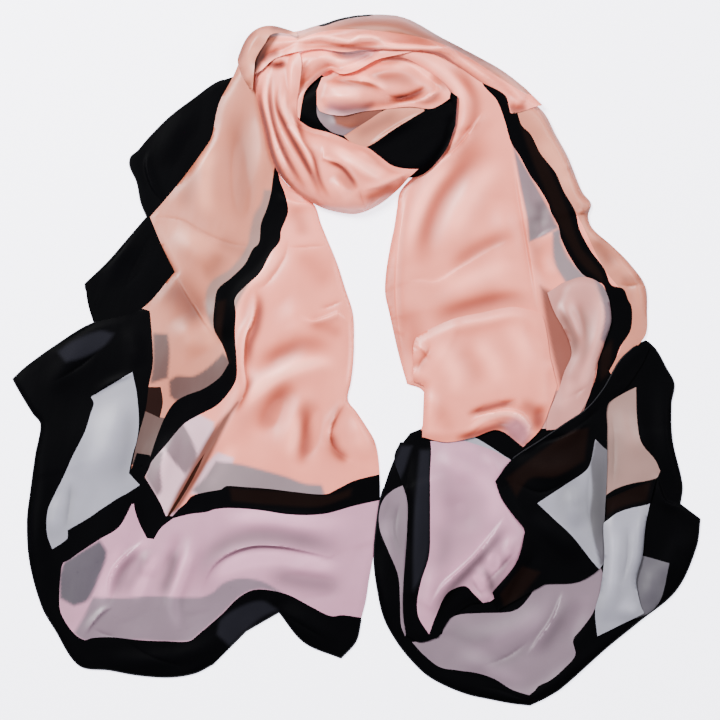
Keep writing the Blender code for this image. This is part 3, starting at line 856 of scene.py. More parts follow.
# %% Left tail, print
BAND_A_LEFT = [(276, 160), (273, 178), (271, 193), (267, 208), (261, 224), (259, 243), (253, 249),
    (245, 264), (231, 278), (218, 289), (215, 302), (214, 328), (223, 346), (229, 363), (220, 377),
    (203, 389), (187, 395), (175, 402), (166, 415), (158, 434), (150, 458)]
BAND_A_RIGHT = [(145, 477), (151, 463), (166, 445), (184, 424), (199, 415), (216, 406), (227, 395),
    (236, 380), (237, 364), (235, 334), (236, 313), (235, 299), (245, 287), (260, 273), (271, 253),
    (280, 241), (281, 231), (288, 212), (285, 194), (280, 181), (277, 165)]
LEFT_PRINT = rows(Print,
    ("beige", [(220, 30), (290, 40)] + BAND_A_LEFT + [(131, 471), (138, 438), (146, 409),
     (149, 386), (153, 364), (152, 334), (150, 311), (110, 300), (110, 120), (200, 60)]),
    ("tan", [(120, 408), (147, 412), (160, 417), (180, 420), (160, 470), (120, 462)]),
    ("brown", [(130, 387), (161, 387), (163, 402), (160, 418), (147, 412), (130, 408)]),
    ("black", [(60, 280), (150, 311), (152, 334), (153, 364), (149, 386), (146, 409), (138, 438),
     (131, 471), (146, 481), (149, 497), (120, 545), (75, 575), (75, 605), (84, 620), (140, 628),
     (185, 629), (214, 602), (250, 578), (292, 583), (336, 604), (361, 605), (420, 610),
     (420, 720), (0, 720), (0, 280)]),
    ("silver", [(132.6, 372), (137, 394), (139, 422), (137, 440), (133, 454), (129, 473),
     (140, 485), (126, 494), (103, 508), (90, 517), (68, 530), (67, 539), (53, 550), (47.5, 534),
     (48, 511), (55, 494), (64, 476), (73, 456), (85, 432), (91, 413), (94, 403), (91, 397)]),
    ("lilac", [(132, 504), (119, 527), (100, 539), (80, 552), (64, 562), (61, 574), (59.5, 600),
     (61.5, 614), (74, 633), (85, 640), (91, 638), (111, 637), (140, 640), (165, 641), (189, 641),
     (200, 633), (222, 614), (238, 598), (253, 590), (269, 590), (289, 595), (312, 607),
     (331, 616), (343, 615), (375, 620), (400, 560), (400, 500), (353, 500), (328, 505),
     (286, 506), (232, 500), (176, 508), (150, 500)]),
    ("lilac_dim", [(93, 597), (120, 598), (150, 596), (200, 597), (213, 592), (223, 583),
     (240, 578), (262, 581), (281, 592), (300, 604), (269, 590), (253, 590), (238, 598),
     (222, 614), (200, 633), (189, 641), (140, 640), (85, 640), (74, 633), (84, 616)]),
    ("smoke_on_lilac", [(64, 562), (80, 552), (100, 540), (107, 553), (99, 578), (88, 600),
     (74, 606), (60, 598), (60, 575)]),
    ("black", [(132, 504), (137, 494), (126, 494), (103, 508), (90, 517), (68, 530), (67, 539),
     (40, 556), (40, 562), (64, 562), (80, 552), (100, 539), (119, 527)]),
    ("smoke_on_beige", [(264, 190), (261, 203), (254, 215), (250, 231), (247, 246), (231, 268),
     (213, 280), (207, 289), (206, 300), (208, 318), (214, 330), (225, 345), (240, 300),
     (262, 265), (280, 230), (280, 190)]),
    ("dusk", [(153, 333), (168, 334), (170, 352), (168, 378), (150, 384), (153, 364)]),
    ("dusk", [(169, 381), (177, 376), (193, 376), (207, 368), (223, 353), (236, 366), (220, 380),
     (200, 393), (178, 401), (170, 396)]),
    ("mist", [(198, 414), (214, 422), (212, 442), (203, 460), (192, 480), (180, 500), (168, 518),
     (156, 500), (146, 482), (148, 466), (162, 444), (180, 424)]),
    ("lavender", [(162, 442), (183, 423), (192, 440), (197, 457), (186, 475), (176, 464),
     (167, 452)]),
    ("lavender", [(145, 477), (153, 458), (164, 449), (161, 470), (162, 490), (157, 497)]),
    ("mist", [(206, 464), (218, 452), (234, 458), (226, 488), (206, 494), (190, 494)]),
    # painted shade along the valley of the long fold
    ("painted_deep_shade", [(238, 402), (226, 414), (214, 428), (205, 442), (197, 457), (188, 473), (178, 490),
     (167, 514), (176, 512), (190, 492), (202, 473), (211, 456), (219, 440), (229, 420)]),
    # painted shadow at the core of that valley
    ("painted_shadow_core", [(205, 453), (196, 466), (188, 480), (179, 496), (167, 516), (170, 516), (181, 499),
     (190, 484), (198, 469)]),
    ("smoke_on_peach", [(216, 461), (240, 464), (264, 470), (288, 477), (304, 483), (322, 485),
     (326, 498), (296, 496), (272, 493), (246, 491), (226, 490), (200, 495), (192, 490),
     (204, 478)]),
    ("black", BAND_A_LEFT + BAND_A_RIGHT),
    ("black", [(137, 453), (130, 473), (140, 485), (137, 497), (134, 504), (139, 522), (147, 538),
     (154, 539), (161, 528), (176, 516), (166, 516), (161, 504), (153, 490), (145, 477),
     (151, 463), (150, 455)]),
    ("black", [(186, 503), (192, 496), (206, 492), (222, 489), (226, 486), (246, 487), (272, 489),
     (296, 492), (326, 494), (339, 488), (356, 480), (400, 470), (400, 496), (380, 500),
     (353, 506), (328, 513), (308, 515), (286, 514), (259, 510), (232, 508), (216, 509),
     (206, 512), (190, 514), (170, 519), (178, 510)]),
    ("umber", [(215, 330), (217, 302), (226, 300), (222, 340), (231, 362), (224, 362)]),
    ("umber", [(230, 488), (300, 492), (330, 495), (352, 488), (350, 496), (320, 506), (280, 505),
     (232, 501)]),
    # black lying single and sheer, with a painted grey sheen
    ("sheer_black_with_painted_sheen", [(217, 634), (221, 620), (240, 607), (262, 601), (278, 610), (262, 617),
     (246, 630), (230, 646)]),
    ("sheer_black_with_painted_sheen", [(58, 352), (72, 342), (100, 331), (114, 334), (104, 346), (84, 357), (66, 362)]))
print("printed shapes on the left tail:", len(LEFT_PRINT))

# %% [markdown]
# ## Left tail: folds and shades
# The cloth fans out from the shoulder, so its folds run down and outwards. They are placed one
# by one, because no two folds of lying satin are alike.

# %% Left tail, folds and shades
LEFT_FOLDS = rows(Fold,
    ("lip", 9, 5.5, [(252, 284), (256, 300), (253, 320), (246, 336), (244, 362), (246, 386),
     (240, 404), (232, 418)]),
    ("lip", 13, 0.8, [(168, 522), (182, 499), (190, 484), (199, 468), (209, 452), (220, 434),
     (232, 414), (244, 396)]),
    ("swell", 7, 3.5, [(284, 232), (276, 254), (262, 274), (243, 290), (237, 306), (238, 330)]),
    ("valley", 6, -2.5, [(289, 238), (284, 258), (268, 282), (254, 292)]),
    ("swell", 16, 7, [(216, 466), (230, 430), (250, 398), (282, 374), (318, 362), (340, 364)]),
    ("swell", 12, -4, [(254, 372), (272, 362), (292, 352), (310, 348)]),
    ("swell", 13, -4, [(262, 440), (272, 418), (282, 396), (296, 386)]),
    ("swell", 14, 5, [(282, 462), (292, 430), (304, 402), (322, 388)]),
    ("swell", 9, -5, [(316, 396), (314, 420), (308, 444), (296, 470)]),
    ("lip", 9, 4.5, [(349, 396), (338, 412), (331, 428), (331, 444), (342, 456), (356, 464)]),
    ("swell", 12, 4.5, [(352, 412), (362, 436), (364, 462)]),
    ("lip", 7, 3, [(298, 314), (312, 321), (326, 318), (338, 313), (350, 324)]),
    ("valley", 5, -2.2, [(316, 310), (330, 306), (344, 300)]),
    ("swell", 18, 4, [(280, 300), (296, 320), (300, 345)]),
    ("valley", 2.5, -1.0, [(286, 247), (306, 247), (330, 245)]),
    ("lip", 7, 1.8, [(345, 305), (337, 272), (329, 242), (317, 206)]),
    ("lip", 9, 3.0, [(276, 192), (290, 201), (304, 204), (318, 204)]),
    ("valley", 4, -2.2, [(278, 182), (292, 192), (310, 197)]),
    ("valley", 2.5, -1.2, [(151, 217), (180, 220), (204, 233), (232, 244), (257, 247)]),
    ("lip", 8, 3.0, [(218, 340), (204, 320), (190, 298), (174, 272)]),
    ("swell", 16, 5, [(200, 300), (216, 320), (222, 344)]),
    ("swell", 14, 5, [(176, 316), (190, 336), (202, 356)]),
    ("swell", 16, 5.5, [(216, 120), (206, 156), (204, 190), (212, 222)]),
    ("swell", 13, -4, [(238, 110), (238, 150), (240, 190), (244, 232)]),
    ("swell", 10, 3.5, [(258, 96), (262, 140), (258, 190)]),
    ("swell", 12, 3.5, [(172, 232), (196, 250), (218, 266)]),
    ("lip", 10, 5, [(112, 604), (109, 590), (113, 572), (126, 556), (146, 539)]),
    ("swell", 9, 4, [(150, 580), (146, 565), (150, 548)]),
    ("swell", 8, 5.5, [(196, 530), (190, 552), (182, 574), (174, 600), (180, 630)]),
    ("swell", 8, -4, [(182, 528), (174, 556), (162, 590)]),
    ("lip", 13, 5.5, [(342, 560), (310, 552), (280, 546), (250, 546), (226, 555), (210, 570),
     (201, 592)]),
    ("swell", 12, 4, [(214, 524), (250, 520), (296, 524), (336, 530)]),
    ("swell", 10, -3.5, [(278, 580), (312, 586), (346, 588)]),
    ("swell", 11, 3.5, [(280, 566), (312, 568), (346, 570)]),
    ("lip", 6, 2.5, [(117, 606), (104, 611), (92, 624), (84, 637)]),
    ("valley", 3, -1.2, [(93, 628), (104, 634), (118, 638)]),
    ("swell", 18, 5, [(120, 392), (112, 440), (100, 484)]),
    ("valley", 5, -1.5, [(72, 480), (70, 500), (66, 530)]),
    ("swell", 10, 3, [(62, 490), (56, 515), (54, 540)]),
    ("swell", 10, 3, [(86, 654), (130, 660), (172, 657), (206, 646), (238, 622)]),
    ("valley", 3, -1.2, [(122, 638), (150, 656), (190, 668)]),
    ("swell", 12, 4, [(276, 604), (300, 618), (326, 634), (346, 640)]),
    ("valley", 4, -1.5, [(282, 613), (300, 624), (330, 642)]),
    ("lip", 12, 2.5, [(345, 405), (352, 350), (348, 310)]),
    ("swell", 13, 3.5, [(92, 338), (66, 365), (48, 398)]),
    ("valley", 4, -1.5, [(104, 346), (80, 366), (50, 384)]),
    ("swell", 10, 2.5, [(128, 322), (134, 345), (140, 370)]),
    ("lip", 7, 2, [(139, 372), (110, 384), (92, 397)]),
    ("swell", 10, 3, [(34, 430), (42, 480), (38, 540), (50, 600)]),
    ("swell", 10, 4, [(176, 428), (168, 450), (160, 474), (162, 498)]))
LEFT_SHADES = rows(Shade,
    (5, 3.4, [(256, 288), (260, 304), (257, 326), (250, 346), (248, 372)]),
    (5, 2.4, [(252, 372), (248, 388), (240, 402), (230, 414)]),
    (12, 1.9, [(262, 436), (268, 414), (280, 396), (300, 384)]),
    (8, 2.6, [(300, 470), (306, 440), (304, 412), (312, 394)]),
    (6, 3.0, [(330, 430), (336, 450), (350, 462)]),
    (5, 1.5, [(342, 402), (334, 416), (330, 432)]),
    (14, 0.8, [(288, 256), (310, 262), (332, 290)]),
    (9, 1.1, [(288, 206), (300, 222), (304, 240)]),
    (8, 1.0, [(306, 322), (326, 328), (346, 336)]),
    (14, 0.7, [(252, 376), (284, 350), (330, 344)]),
    (8, -1.7, [(240, 414), (256, 392), (284, 372), (316, 362), (344, 364)]),
    (10, 1.2, [(260, 366), (280, 352), (310, 344), (340, 346)]),
    (7, -1.0, [(286, 236), (276, 256), (262, 274), (244, 290), (238, 310), (240, 360)]),
    (9, -0.8, [(238, 440), (222, 466), (204, 496)]),
    (8, -0.9, [(288, 462), (296, 430), (300, 404)]),
    (13, 0.9, [(236, 95), (238, 135), (244, 175), (240, 230)]),
    (11, 0.8, [(180, 214), (192, 184), (206, 160)]),
    (11, -0.9, [(214, 140), (206, 170), (206, 200), (214, 224)]),
    (10, 0.6, [(214, 238), (240, 250), (256, 250)]),
    (10, -0.6, [(160, 226), (190, 236), (224, 252)]),
    (18, 2.2, [(160, 280), (184, 300), (204, 330)]),
    (12, 0.8, [(222, 250), (214, 268), (200, 276)]),
    (12, -0.8, [(196, 312), (208, 332), (212, 352)]),
    (8, 2.6, [(148, 544), (130, 562), (118, 584), (114, 600)]),
    (8, 3.2, [(176, 545), (170, 575), (160, 600)]),
    (6, 2.2, [(152, 546), (138, 570), (124, 598)]),
    (5, -1.4, [(160, 550), (146, 576), (134, 606)]),
    (6, -2.0, [(192, 545), (182, 575), (173, 602), (180, 634)]),
    (12, 3.0, [(200, 590), (208, 562), (224, 546), (252, 538), (296, 540), (352, 552)]),
    (10, -2.0, [(208, 592), (224, 570), (250, 559), (290, 558), (346, 568)]),
    (11, 2.4, [(262, 572), (300, 582), (350, 588)]),
    (12, -1.2, [(216, 520), (260, 516), (310, 522), (360, 522)]),
    (8, -1.2, [(150, 530), (140, 552), (134, 580), (130, 606)]),
    (8, -1.2, [(128, 540), (112, 566), (104, 590), (98, 616)]),
    (12, 0.5, [(60, 580), (66, 610), (80, 630)]),
    (12, -0.7, [(104, 400), (98, 440), (84, 480)]),
    (9, 0.9, [(128, 400), (128, 440), (118, 486)]),
    (5, 1.0, [(72, 480), (70, 505), (66, 532)]),
    (6, 1.0, [(346, 210), (352, 245), (362, 290)]))
LEFT_TAIL = Stretch(
    "left_tail", "peach", "peach_satin", TAIL_STEP, edge_round=7.0, waves=1.4,
    sections=rows(Section,
        (254, 37, 282, 47, 8), (243, 54, 270, 70, 8), (233, 77, 262, 100, 5),
        (219, 104, 268, 135, 3), (212, 136, 275, 163, 3), (208, 144, 279, 174, 3),
        (184, 177, 290, 187, 3), (165, 200, 304, 196, 3), (150, 217, 315, 206, 3),
        (163, 248, 321, 224, 3), (175, 272, 337, 263, 3), (141, 309, 345, 288, 3),
        (91, 324, 353, 314, 3), (55, 346, 354, 345, 3), (26, 367, 353, 366, 3),
        (13, 379, 351, 382, 3), (19, 390, 348, 400, 3), (33, 413, 356, 411, 3),
        (41, 424, 366, 426, 3), (36, 454, 375, 442, 3), (31, 490, 379, 464, 2.5),
        (27.5, 521, 380, 500, 2.5), (30, 562, 377, 535, 2), (42, 606, 369, 580, 1.5),
        (55, 629, 366, 600, 1.5), (79, 665, 361, 620, 1), (110, 670, 356, 641, 1),
        (138, 675, 341, 658, 1), (170, 677, 304, 642, 1), (195, 673, 279, 612, 1),
        (213, 664, 246, 631, 1)),
    folds=LEFT_FOLDS, shades=LEFT_SHADES, prints=LEFT_PRINT)
tell(LEFT_TAIL)

# %% [markdown]
# ## Right tail: the end
# The right end is heaped: its border and lower lilac panel lie on the table, the lilac panel
# is folded back on them, the black corner is turned over, and a silver-grey fold stands at
# the side.

# %% Right end, lowest layer
RIGHT_END = Stretch(
    "right_end", "black", "black_satin", TAIL_STEP, edge_round=6.0, waves=0.8,
    sections=rows(Section,
        (410, 433, 646, 340, 1), (398, 450, 656, 350, 1), (382, 493, 666, 368, 2),
        (377, 520, 674, 384, 2), (374, 560, 671, 404, 2), (379, 598, 672, 440, 2),
        (385, 620, 682, 485, 2), (396, 640, 680, 504, 2), (408, 656, 700, 519, 2),
        (426, 674, 696, 547, 2), (445, 685, 676, 590, 2), (468, 694, 638, 622, 2),
        (491, 699, 606, 648, 2), (512, 703, 561, 688, 1), (530, 705, 545, 698, 0)),
    folds=rows(Fold,
        ("swell", 12, 4, [(392, 506), (388, 530), (394, 556), (402, 580)]),
        ("valley", 4, -1.5, [(400, 500), (395, 528), (400, 552)]),
        ("swell", 10, 3, [(380, 540), (386, 590), (400, 634)]),
        ("swell", 16, 5, [(450, 634), (490, 636), (530, 622), (562, 596)]),
        ("lip", 14, 4.5, [(526, 657), (538, 640), (554, 616), (564, 588)]),
        ("swell", 12, -3, [(560, 650), (574, 622), (586, 596)]),
        ("valley", 5, -1.6, [(480, 667), (508, 656), (532, 638)]),
        ("swell", 12, 3.5, [(450, 655), (490, 668), (520, 684)]),
        ("swell", 14, 4, [(624, 396), (628, 430), (646, 462)]),
        ("valley", 4, -1.4, [(612, 412), (614, 450), (612, 490)]),
        ("swell", 12, 4, [(662, 372), (664, 410), (668, 450), (676, 490)]),
        ("lip", 9, 3, [(655, 470), (664, 500), (684, 508)]),
        ("swell", 14, 4, [(690, 524), (678, 550), (660, 585)]),
        ("swell", 10, 3, [(655, 562), (652, 585), (644, 606)]),
        ("swell", 9, 3, [(430, 668), (480, 688), (530, 696), (570, 670), (615, 636)]),
        ("valley", 3, -1.2, [(470, 684), (500, 690), (532, 699), (560, 682)])),
    shades=rows(Shade,
        (9, 1.0, [(400, 500), (397, 530), (402, 560)]),
        (10, -0.6, [(386, 516), (388, 540)]),
        (10, 0.8, [(446, 622), (464, 634), (500, 640)]),
        (12, -1.0, [(450, 656), (490, 646), (526, 626), (556, 592)]),
        (9, -0.7, [(478, 672), (506, 676), (530, 684)]),
        (8, 0.9, [(538, 656), (552, 634), (570, 596)]),
        (9, -0.5, [(566, 640), (580, 616), (590, 590)]),
        (6, 0.8, [(486, 668), (512, 658), (532, 644)]),
        (10, 0.8, [(610, 430), (612, 460), (614, 488)]),
        (12, -0.5, [(632, 410), (638, 450)])),
    prints=rows(Print,
        ("lilac", [(406, 484), (393, 490), (383, 500), (379, 514), (380, 530), (388, 550),
         (398, 575), (400, 600), (401, 625), (405, 636), (415, 620), (415, 500)]),
        ("lilac_dim", [(402, 480), (380, 495), (375, 514), (378, 530), (386, 552), (396, 577),
         (396, 600), (398, 628), (406, 640), (420, 620), (420, 500)]),
        ("lilac", [(556, 568), (539, 582), (529, 597), (519, 608), (508, 612), (481, 613),
         (457, 615), (446, 622), (442, 634), (420, 641), (412, 642), (424, 655), (440, 667),
         (457, 670), (478, 673), (495, 679), (511, 689), (529, 695), (535, 690), (538, 686),
         (550, 680), (562, 670), (575, 655), (573, 640), (582, 628), (593, 612), (604, 580),
         (600, 566), (571, 570)]),
        ("lilac_dim", [(556, 564), (535, 582), (525, 597), (515, 605), (508, 608), (481, 609),
         (457, 611), (440, 620), (436, 634), (416, 640), (408, 642), (422, 659), (440, 672),
         (457, 676), (478, 680), (495, 686), (511, 693), (529, 700), (545, 690), (562, 676),
         (578, 658), (577, 640), (586, 628), (600, 612), (610, 580), (606, 562), (571, 564)]),
        ("beige_dim", [(636, 387), (617, 397), (600, 409), (600, 428), (600, 447), (600, 500),
         (613, 490), (629, 484), (656, 478), (660, 471), (655, 460), (641, 442), (637, 420)]),
        ("silver", [(630, 553), (644, 556), (669, 563), (661, 598), (650, 612), (630, 620)]),
        ("silver_dim", [(620, 545), (644, 552), (675, 560), (665, 600), (652, 618), (625, 626)]),
        ("silver", [(460, 434), (474, 437), (511, 460), (506, 466), (470, 447)])))
tell(RIGHT_END)

# %% [markdown]
# ## Right tail: the lilac panel
# The lilac end panel is folded over on the border below it, and its edge is crumpled.

# %% Right end, the folded lilac panel
RIGHT_END_PANEL = Stretch(
    "right_end_panel", "lilac", "lilac_satin", TAIL_STEP, edge_round=12.0, waves=0.8,
    sections=rows(Section,
        (400, 442, 462, 440, 3), (394, 457, 492, 450, 4), (400, 478, 512, 461, 5),
        (407, 500, 505, 484, 6), (407, 530, 512, 505, 6), (405, 560, 524, 530, 6),
        (403, 590, 524, 552, 6), (403, 615, 513, 570, 6), (406, 635, 492, 600, 5),
        (420, 642, 470, 604, 4), (438, 637, 450, 618, 3)),
    folds=rows(Fold,
        ("lip", 11, 5.5, [(427, 610), (442, 586), (458, 572), (475, 556), (492, 535), (508, 512)]),
        ("swell", 12, 4, [(434, 452), (460, 470), (480, 476)]),
        ("swell", 16, -3, [(440, 500), (460, 510), (466, 536)]),
        ("swell", 7, 5, [(498, 540), (490, 556), (492, 572)]),
        ("swell", 6, 4, [(474, 562), (482, 576), (484, 592)]),
        ("swell", 6, 3.5, [(514, 532), (508, 548), (506, 566)]),
        ("valley", 4, -2, [(516, 550), (502, 566), (484, 584)]),
        ("valley", 4, -2, [(486, 602), (478, 590), (470, 578)]),
        ("swell", 8, 3, [(434, 560), (430, 590), (424, 620)]),
        ("swell", 8, 3, [(480, 452), (494, 466), (500, 486)]),
        ("swell", 8, 3, [(416, 456), (416, 530), (413, 590)]),
        ("valley", 4, -1.5, [(412, 446), (408, 470), (407, 500)])),
    shades=rows(Shade,
        (12, 0.9, [(440, 452), (444, 484), (450, 516), (444, 556), (436, 590)]),
        (12, 0.6, [(470, 444), (490, 452), (506, 470)]),
        (10, 0.8, [(434, 520), (444, 546), (436, 574)]),
        (6, 4.2, [(508, 520), (492, 544), (468, 570), (444, 598), (430, 626)]),
        (5, -2.6, [(488, 552), (496, 562), (494, 574)]),
        (4, -2.0, [(472, 572), (480, 582), (482, 592)]),
        (4, 3.0, [(482, 566), (490, 580), (492, 596)]),
        (22, 0.9, [(430, 470), (470, 500), (466, 530), (446, 570)]),
        (12, -0.9, [(462, 468), (486, 484), (494, 506), (484, 528)]),
        (6, -1.0, [(496, 524), (478, 548), (456, 568), (438, 588)]),
        (7, -0.8, [(500, 548), (490, 562), (486, 580)]),
        (6, 2.6, [(512, 552), (500, 572), (488, 598)])),
    prints=rows(Print,
        ("black", [(380, 430), (429, 430), (431, 449), (430, 474), (430, 524), (429, 555),
         (421, 581), (417, 603), (419, 618), (429, 634), (436, 615), (446, 594), (457, 587),
         (466, 586), (474, 594), (486, 605), (500, 612), (470, 660), (390, 660)]),
        # the black band lying single and sheer, with a painted grey sheen
        ("sheer_black_with_painted_sheen", [(401, 446), (412, 446), (404, 470), (396, 486), (388, 478)]),
        ("sheer_black_with_painted_sheen", [(420, 450), (430, 450), (429, 500), (428, 550), (420, 578), (413, 590),
         (414, 520)])))
tell(RIGHT_END_PANEL)

# %% [markdown]
# ## Right tail: the long stretch
# The right tail comes out of the ring, widens over the table and is doubled back lower down.
# The peach middle, the lengthwise band and the beige side strip run along it.

# %% Knot, hidden layers, and right tail
KNOT_HIDDEN_LAYERS = Stretch(
    "knot_hidden_layers", "peach", "peach_satin", 2 * KNOT_STEP, edge_round=22.0, waves=0.2,
    sections=rows(Section,
        (330, 66, 392, 68, 16), (302, 88, 420, 86, 16), (296, 120, 430, 116, 16),
        (304, 152, 420, 146, 16), (322, 178, 400, 170, 16), (346, 192, 378, 186, 16)))
BAND_C_LEFT = [(478, 76), (484, 88), (496, 101), (504, 121), (511, 144), (519, 156), (530, 176),
    (538, 187), (548, 204), (551, 213), (558, 226), (561, 239), (571, 259), (583, 275), (595, 281),
    (603, 285), (607, 298), (611, 317), (608, 331), (599, 352), (596, 375), (591, 390), (580, 420)]
BAND_C_RIGHT = [(630, 410), (609, 371), (615, 360), (620, 347), (630, 331), (632, 317), (631, 306),
    (628, 300), (623, 289), (611, 285), (604, 269), (590, 250), (579, 229), (575, 212), (563, 191),
    (555, 173), (540, 154), (530, 135), (521, 126), (517, 114), (510, 114), (504, 93), (492, 78)]
RIGHT_TAIL = Stretch(
    "right_tail", "peach", "peach_satin", TAIL_STEP, edge_round=9.0, waves=1.3,
    sections=rows(Section,
        (380, 62, 394, 40, 24), (404, 66, 440, 48, 22), (430, 80, 478, 66, 20),
        (449, 98, 506, 86, 18), (453, 118, 541, 110, 15), (447, 142, 556, 136, 11),
        (434, 160, 568, 158, 8), (414, 176, 582, 192, 6), (400, 192, 591, 204, 5),
        (397, 208, 588, 216, 5), (394, 228, 592, 228, 5), (390, 247, 611, 245, 4),
        (386, 272, 629, 263, 4), (385, 293, 645, 286, 4), (389, 312, 647, 312, 3),
        (399, 356, 645, 336, 3), (407, 384, 622, 360, 3), (422, 390, 608, 380, 2),
        (427, 406, 588, 408, 2), (421, 430, 560, 427, 2), (440, 434, 500, 426, 2)),
    folds=rows(Fold,
        ("lip", 13, 5, [(424, 170), (446, 158), (462, 143), (476, 124), (486, 108)]),
        ("swell", 10, 5, [(410, 58), (440, 72), (461, 92), (468, 112), (460, 134)]),
        ("swell", 9, -3.5, [(440, 62), (466, 82), (478, 104)]),
        ("swell", 15, -4, [(490, 138), (472, 160), (450, 186), (434, 212), (425, 240),
         (421, 274)]),
        ("swell", 12, 3.5, [(470, 150), (446, 172), (428, 196), (416, 226), (408, 262)]),
        ("swell", 18, 5, [(500, 160), (476, 186), (456, 214), (446, 246), (444, 272)]),
        ("lip", 6, 2.6, [(407, 380), (401, 345), (397, 310), (396, 284), (399, 240), (405, 204),
         (413, 178)]),
        ("lip", 10, 1.6, [(396, 280), (420, 281), (438, 281), (460, 268), (490, 250), (518, 237)]),
        ("swell", 11, -3, [(448, 266), (474, 250), (500, 240), (520, 230)]),
        ("lip", 12, 4, [(541, 322), (537, 300), (531, 262), (524, 220), (518, 184), (512, 146)]),
        ("swell", 15, 4, [(500, 196), (506, 230), (514, 262)]),
        ("swell", 18, 4, [(424, 306), (460, 296), (500, 284), (526, 280)]),
        ("swell", 9, -4, [(430, 322), (454, 311), (482, 303), (512, 298), (538, 302)]),
        ("lip", 7, 2.0, [(528, 245), (544, 234), (560, 228)]),
        ("swell", 8, 3, [(540, 250), (548, 268), (556, 280)]),
        ("swell", 8, -3, [(538, 200), (541, 214), (536, 232)]),
        ("swell", 11, 4, [(530, 128), (552, 160), (572, 194), (590, 232), (612, 268)]),
        ("swell", 7, 3, [(548, 132), (564, 160), (578, 190)]),
        ("lip", 7, 3, [(578, 208), (584, 212), (591, 203)]),
        ("valley", 5, -2.4, [(576, 216), (584, 214), (590, 208)]),
        ("valley", 3, -1.4, [(566, 172), (572, 166), (577, 160)]),
        ("swell", 10, -3, [(586, 236), (602, 252), (616, 270)]),
        ("swell", 9, 4, [(612, 252), (630, 272), (640, 296), (640, 325)]),
        ("valley", 3, -1.6, [(616, 284), (630, 286), (645, 283)]),
        ("swell", 9, 3, [(404, 320), (410, 350), (418, 380)])),
    shades=rows(Shade,
        (13, 1.8, [(494, 134), (480, 152), (464, 168), (446, 190), (434, 212), (426, 236),
         (422, 262), (420, 280)]),
        (8, -1.1, [(468, 148), (446, 170), (428, 194), (414, 226), (406, 262)]),
        (13, -0.9, [(508, 156), (480, 184), (462, 214), (452, 246)]),
        (8, 1.7, [(446, 64), (466, 84), (474, 104), (470, 126), (452, 146)]),
        (7, -0.8, [(418, 60), (444, 76), (460, 94), (464, 112)]),
        (5, 1.2, [(436, 157), (452, 148), (468, 136)]),
        (9, 0.8, [(392, 250), (390, 290), (396, 330), (404, 376)]),
        (9, 1.5, [(446, 270), (466, 256), (492, 242), (520, 230)]),
        (12, -0.8, [(430, 290), (470, 278), (520, 260)]),
        (10, 1.0, [(526, 214), (534, 250), (540, 280)]),
        (12, 1.5, [(426, 326), (450, 314), (480, 305), (512, 300), (542, 306)]),
        (14, 1.2, [(404, 300), (412, 330), (418, 366)]),
        (18, 0.7, [(420, 310), (460, 300), (510, 290)]),
        (7, 1.0, [(538, 196), (540, 212), (536, 228)]),
        (6, -0.9, [(530, 248), (546, 236), (560, 230)]),
        (9, 1.1, [(592, 236), (604, 252), (616, 268)]),
        (5, 1.4, [(578, 214), (586, 212), (591, 206)]),
        (5, 1.0, [(566, 174), (573, 167), (578, 162)]),
        (6, 1.1, [(618, 278), (632, 280), (645, 278)]),
        (10, -0.7, [(534, 132), (556, 166), (574, 200)]),
        (10, 1.6, [(548, 420), (568, 416), (590, 404)])),
    prints=rows(Print,
        ("beige", [(500, 70), (515, 120), (540, 154), (575, 212), (604, 269), (625, 300),
         (620, 350), (606, 372), (610, 400), (700, 400), (700, 60), (560, 60)]),
        ("lavender", [(512, 144), (518, 156), (530, 176), (538, 190), (548, 208), (558, 228),
         (544, 236), (529, 242), (527, 220), (520, 186)]),
        ("smoke_on_peach", [(552, 232), (560, 228), (562, 244), (571, 261), (590, 280), (566, 284),
         (554, 262)]),
        # painted shade of the pocket beside the hump
        ("painted_pocket_shade", [(540, 286), (556, 296), (574, 330), (576, 376), (560, 386), (552, 354),
         (545, 320)]),
        ("blush", [(546, 392), (592, 386), (602, 420), (562, 438), (534, 438)]),
        ("black", BAND_C_LEFT + BAND_C_RIGHT),
        ("umber", [(520, 126), (530, 136), (548, 168), (566, 208), (580, 246), (600, 272),
         (604, 284), (580, 262), (560, 226), (545, 190), (532, 160)]),
        ("umber", [(600, 352), (612, 340), (610, 366), (606, 376), (600, 380)])))
tell(KNOT_HIDDEN_LAYERS, RIGHT_TAIL)

# %% [markdown]
# ## Right tail: what is folded over it
# Four smaller stretches lie on the right tail and its end: the doubled-over pouch, the hump
# beside the black band, the black corner that is turned over, and the silver-grey fold.

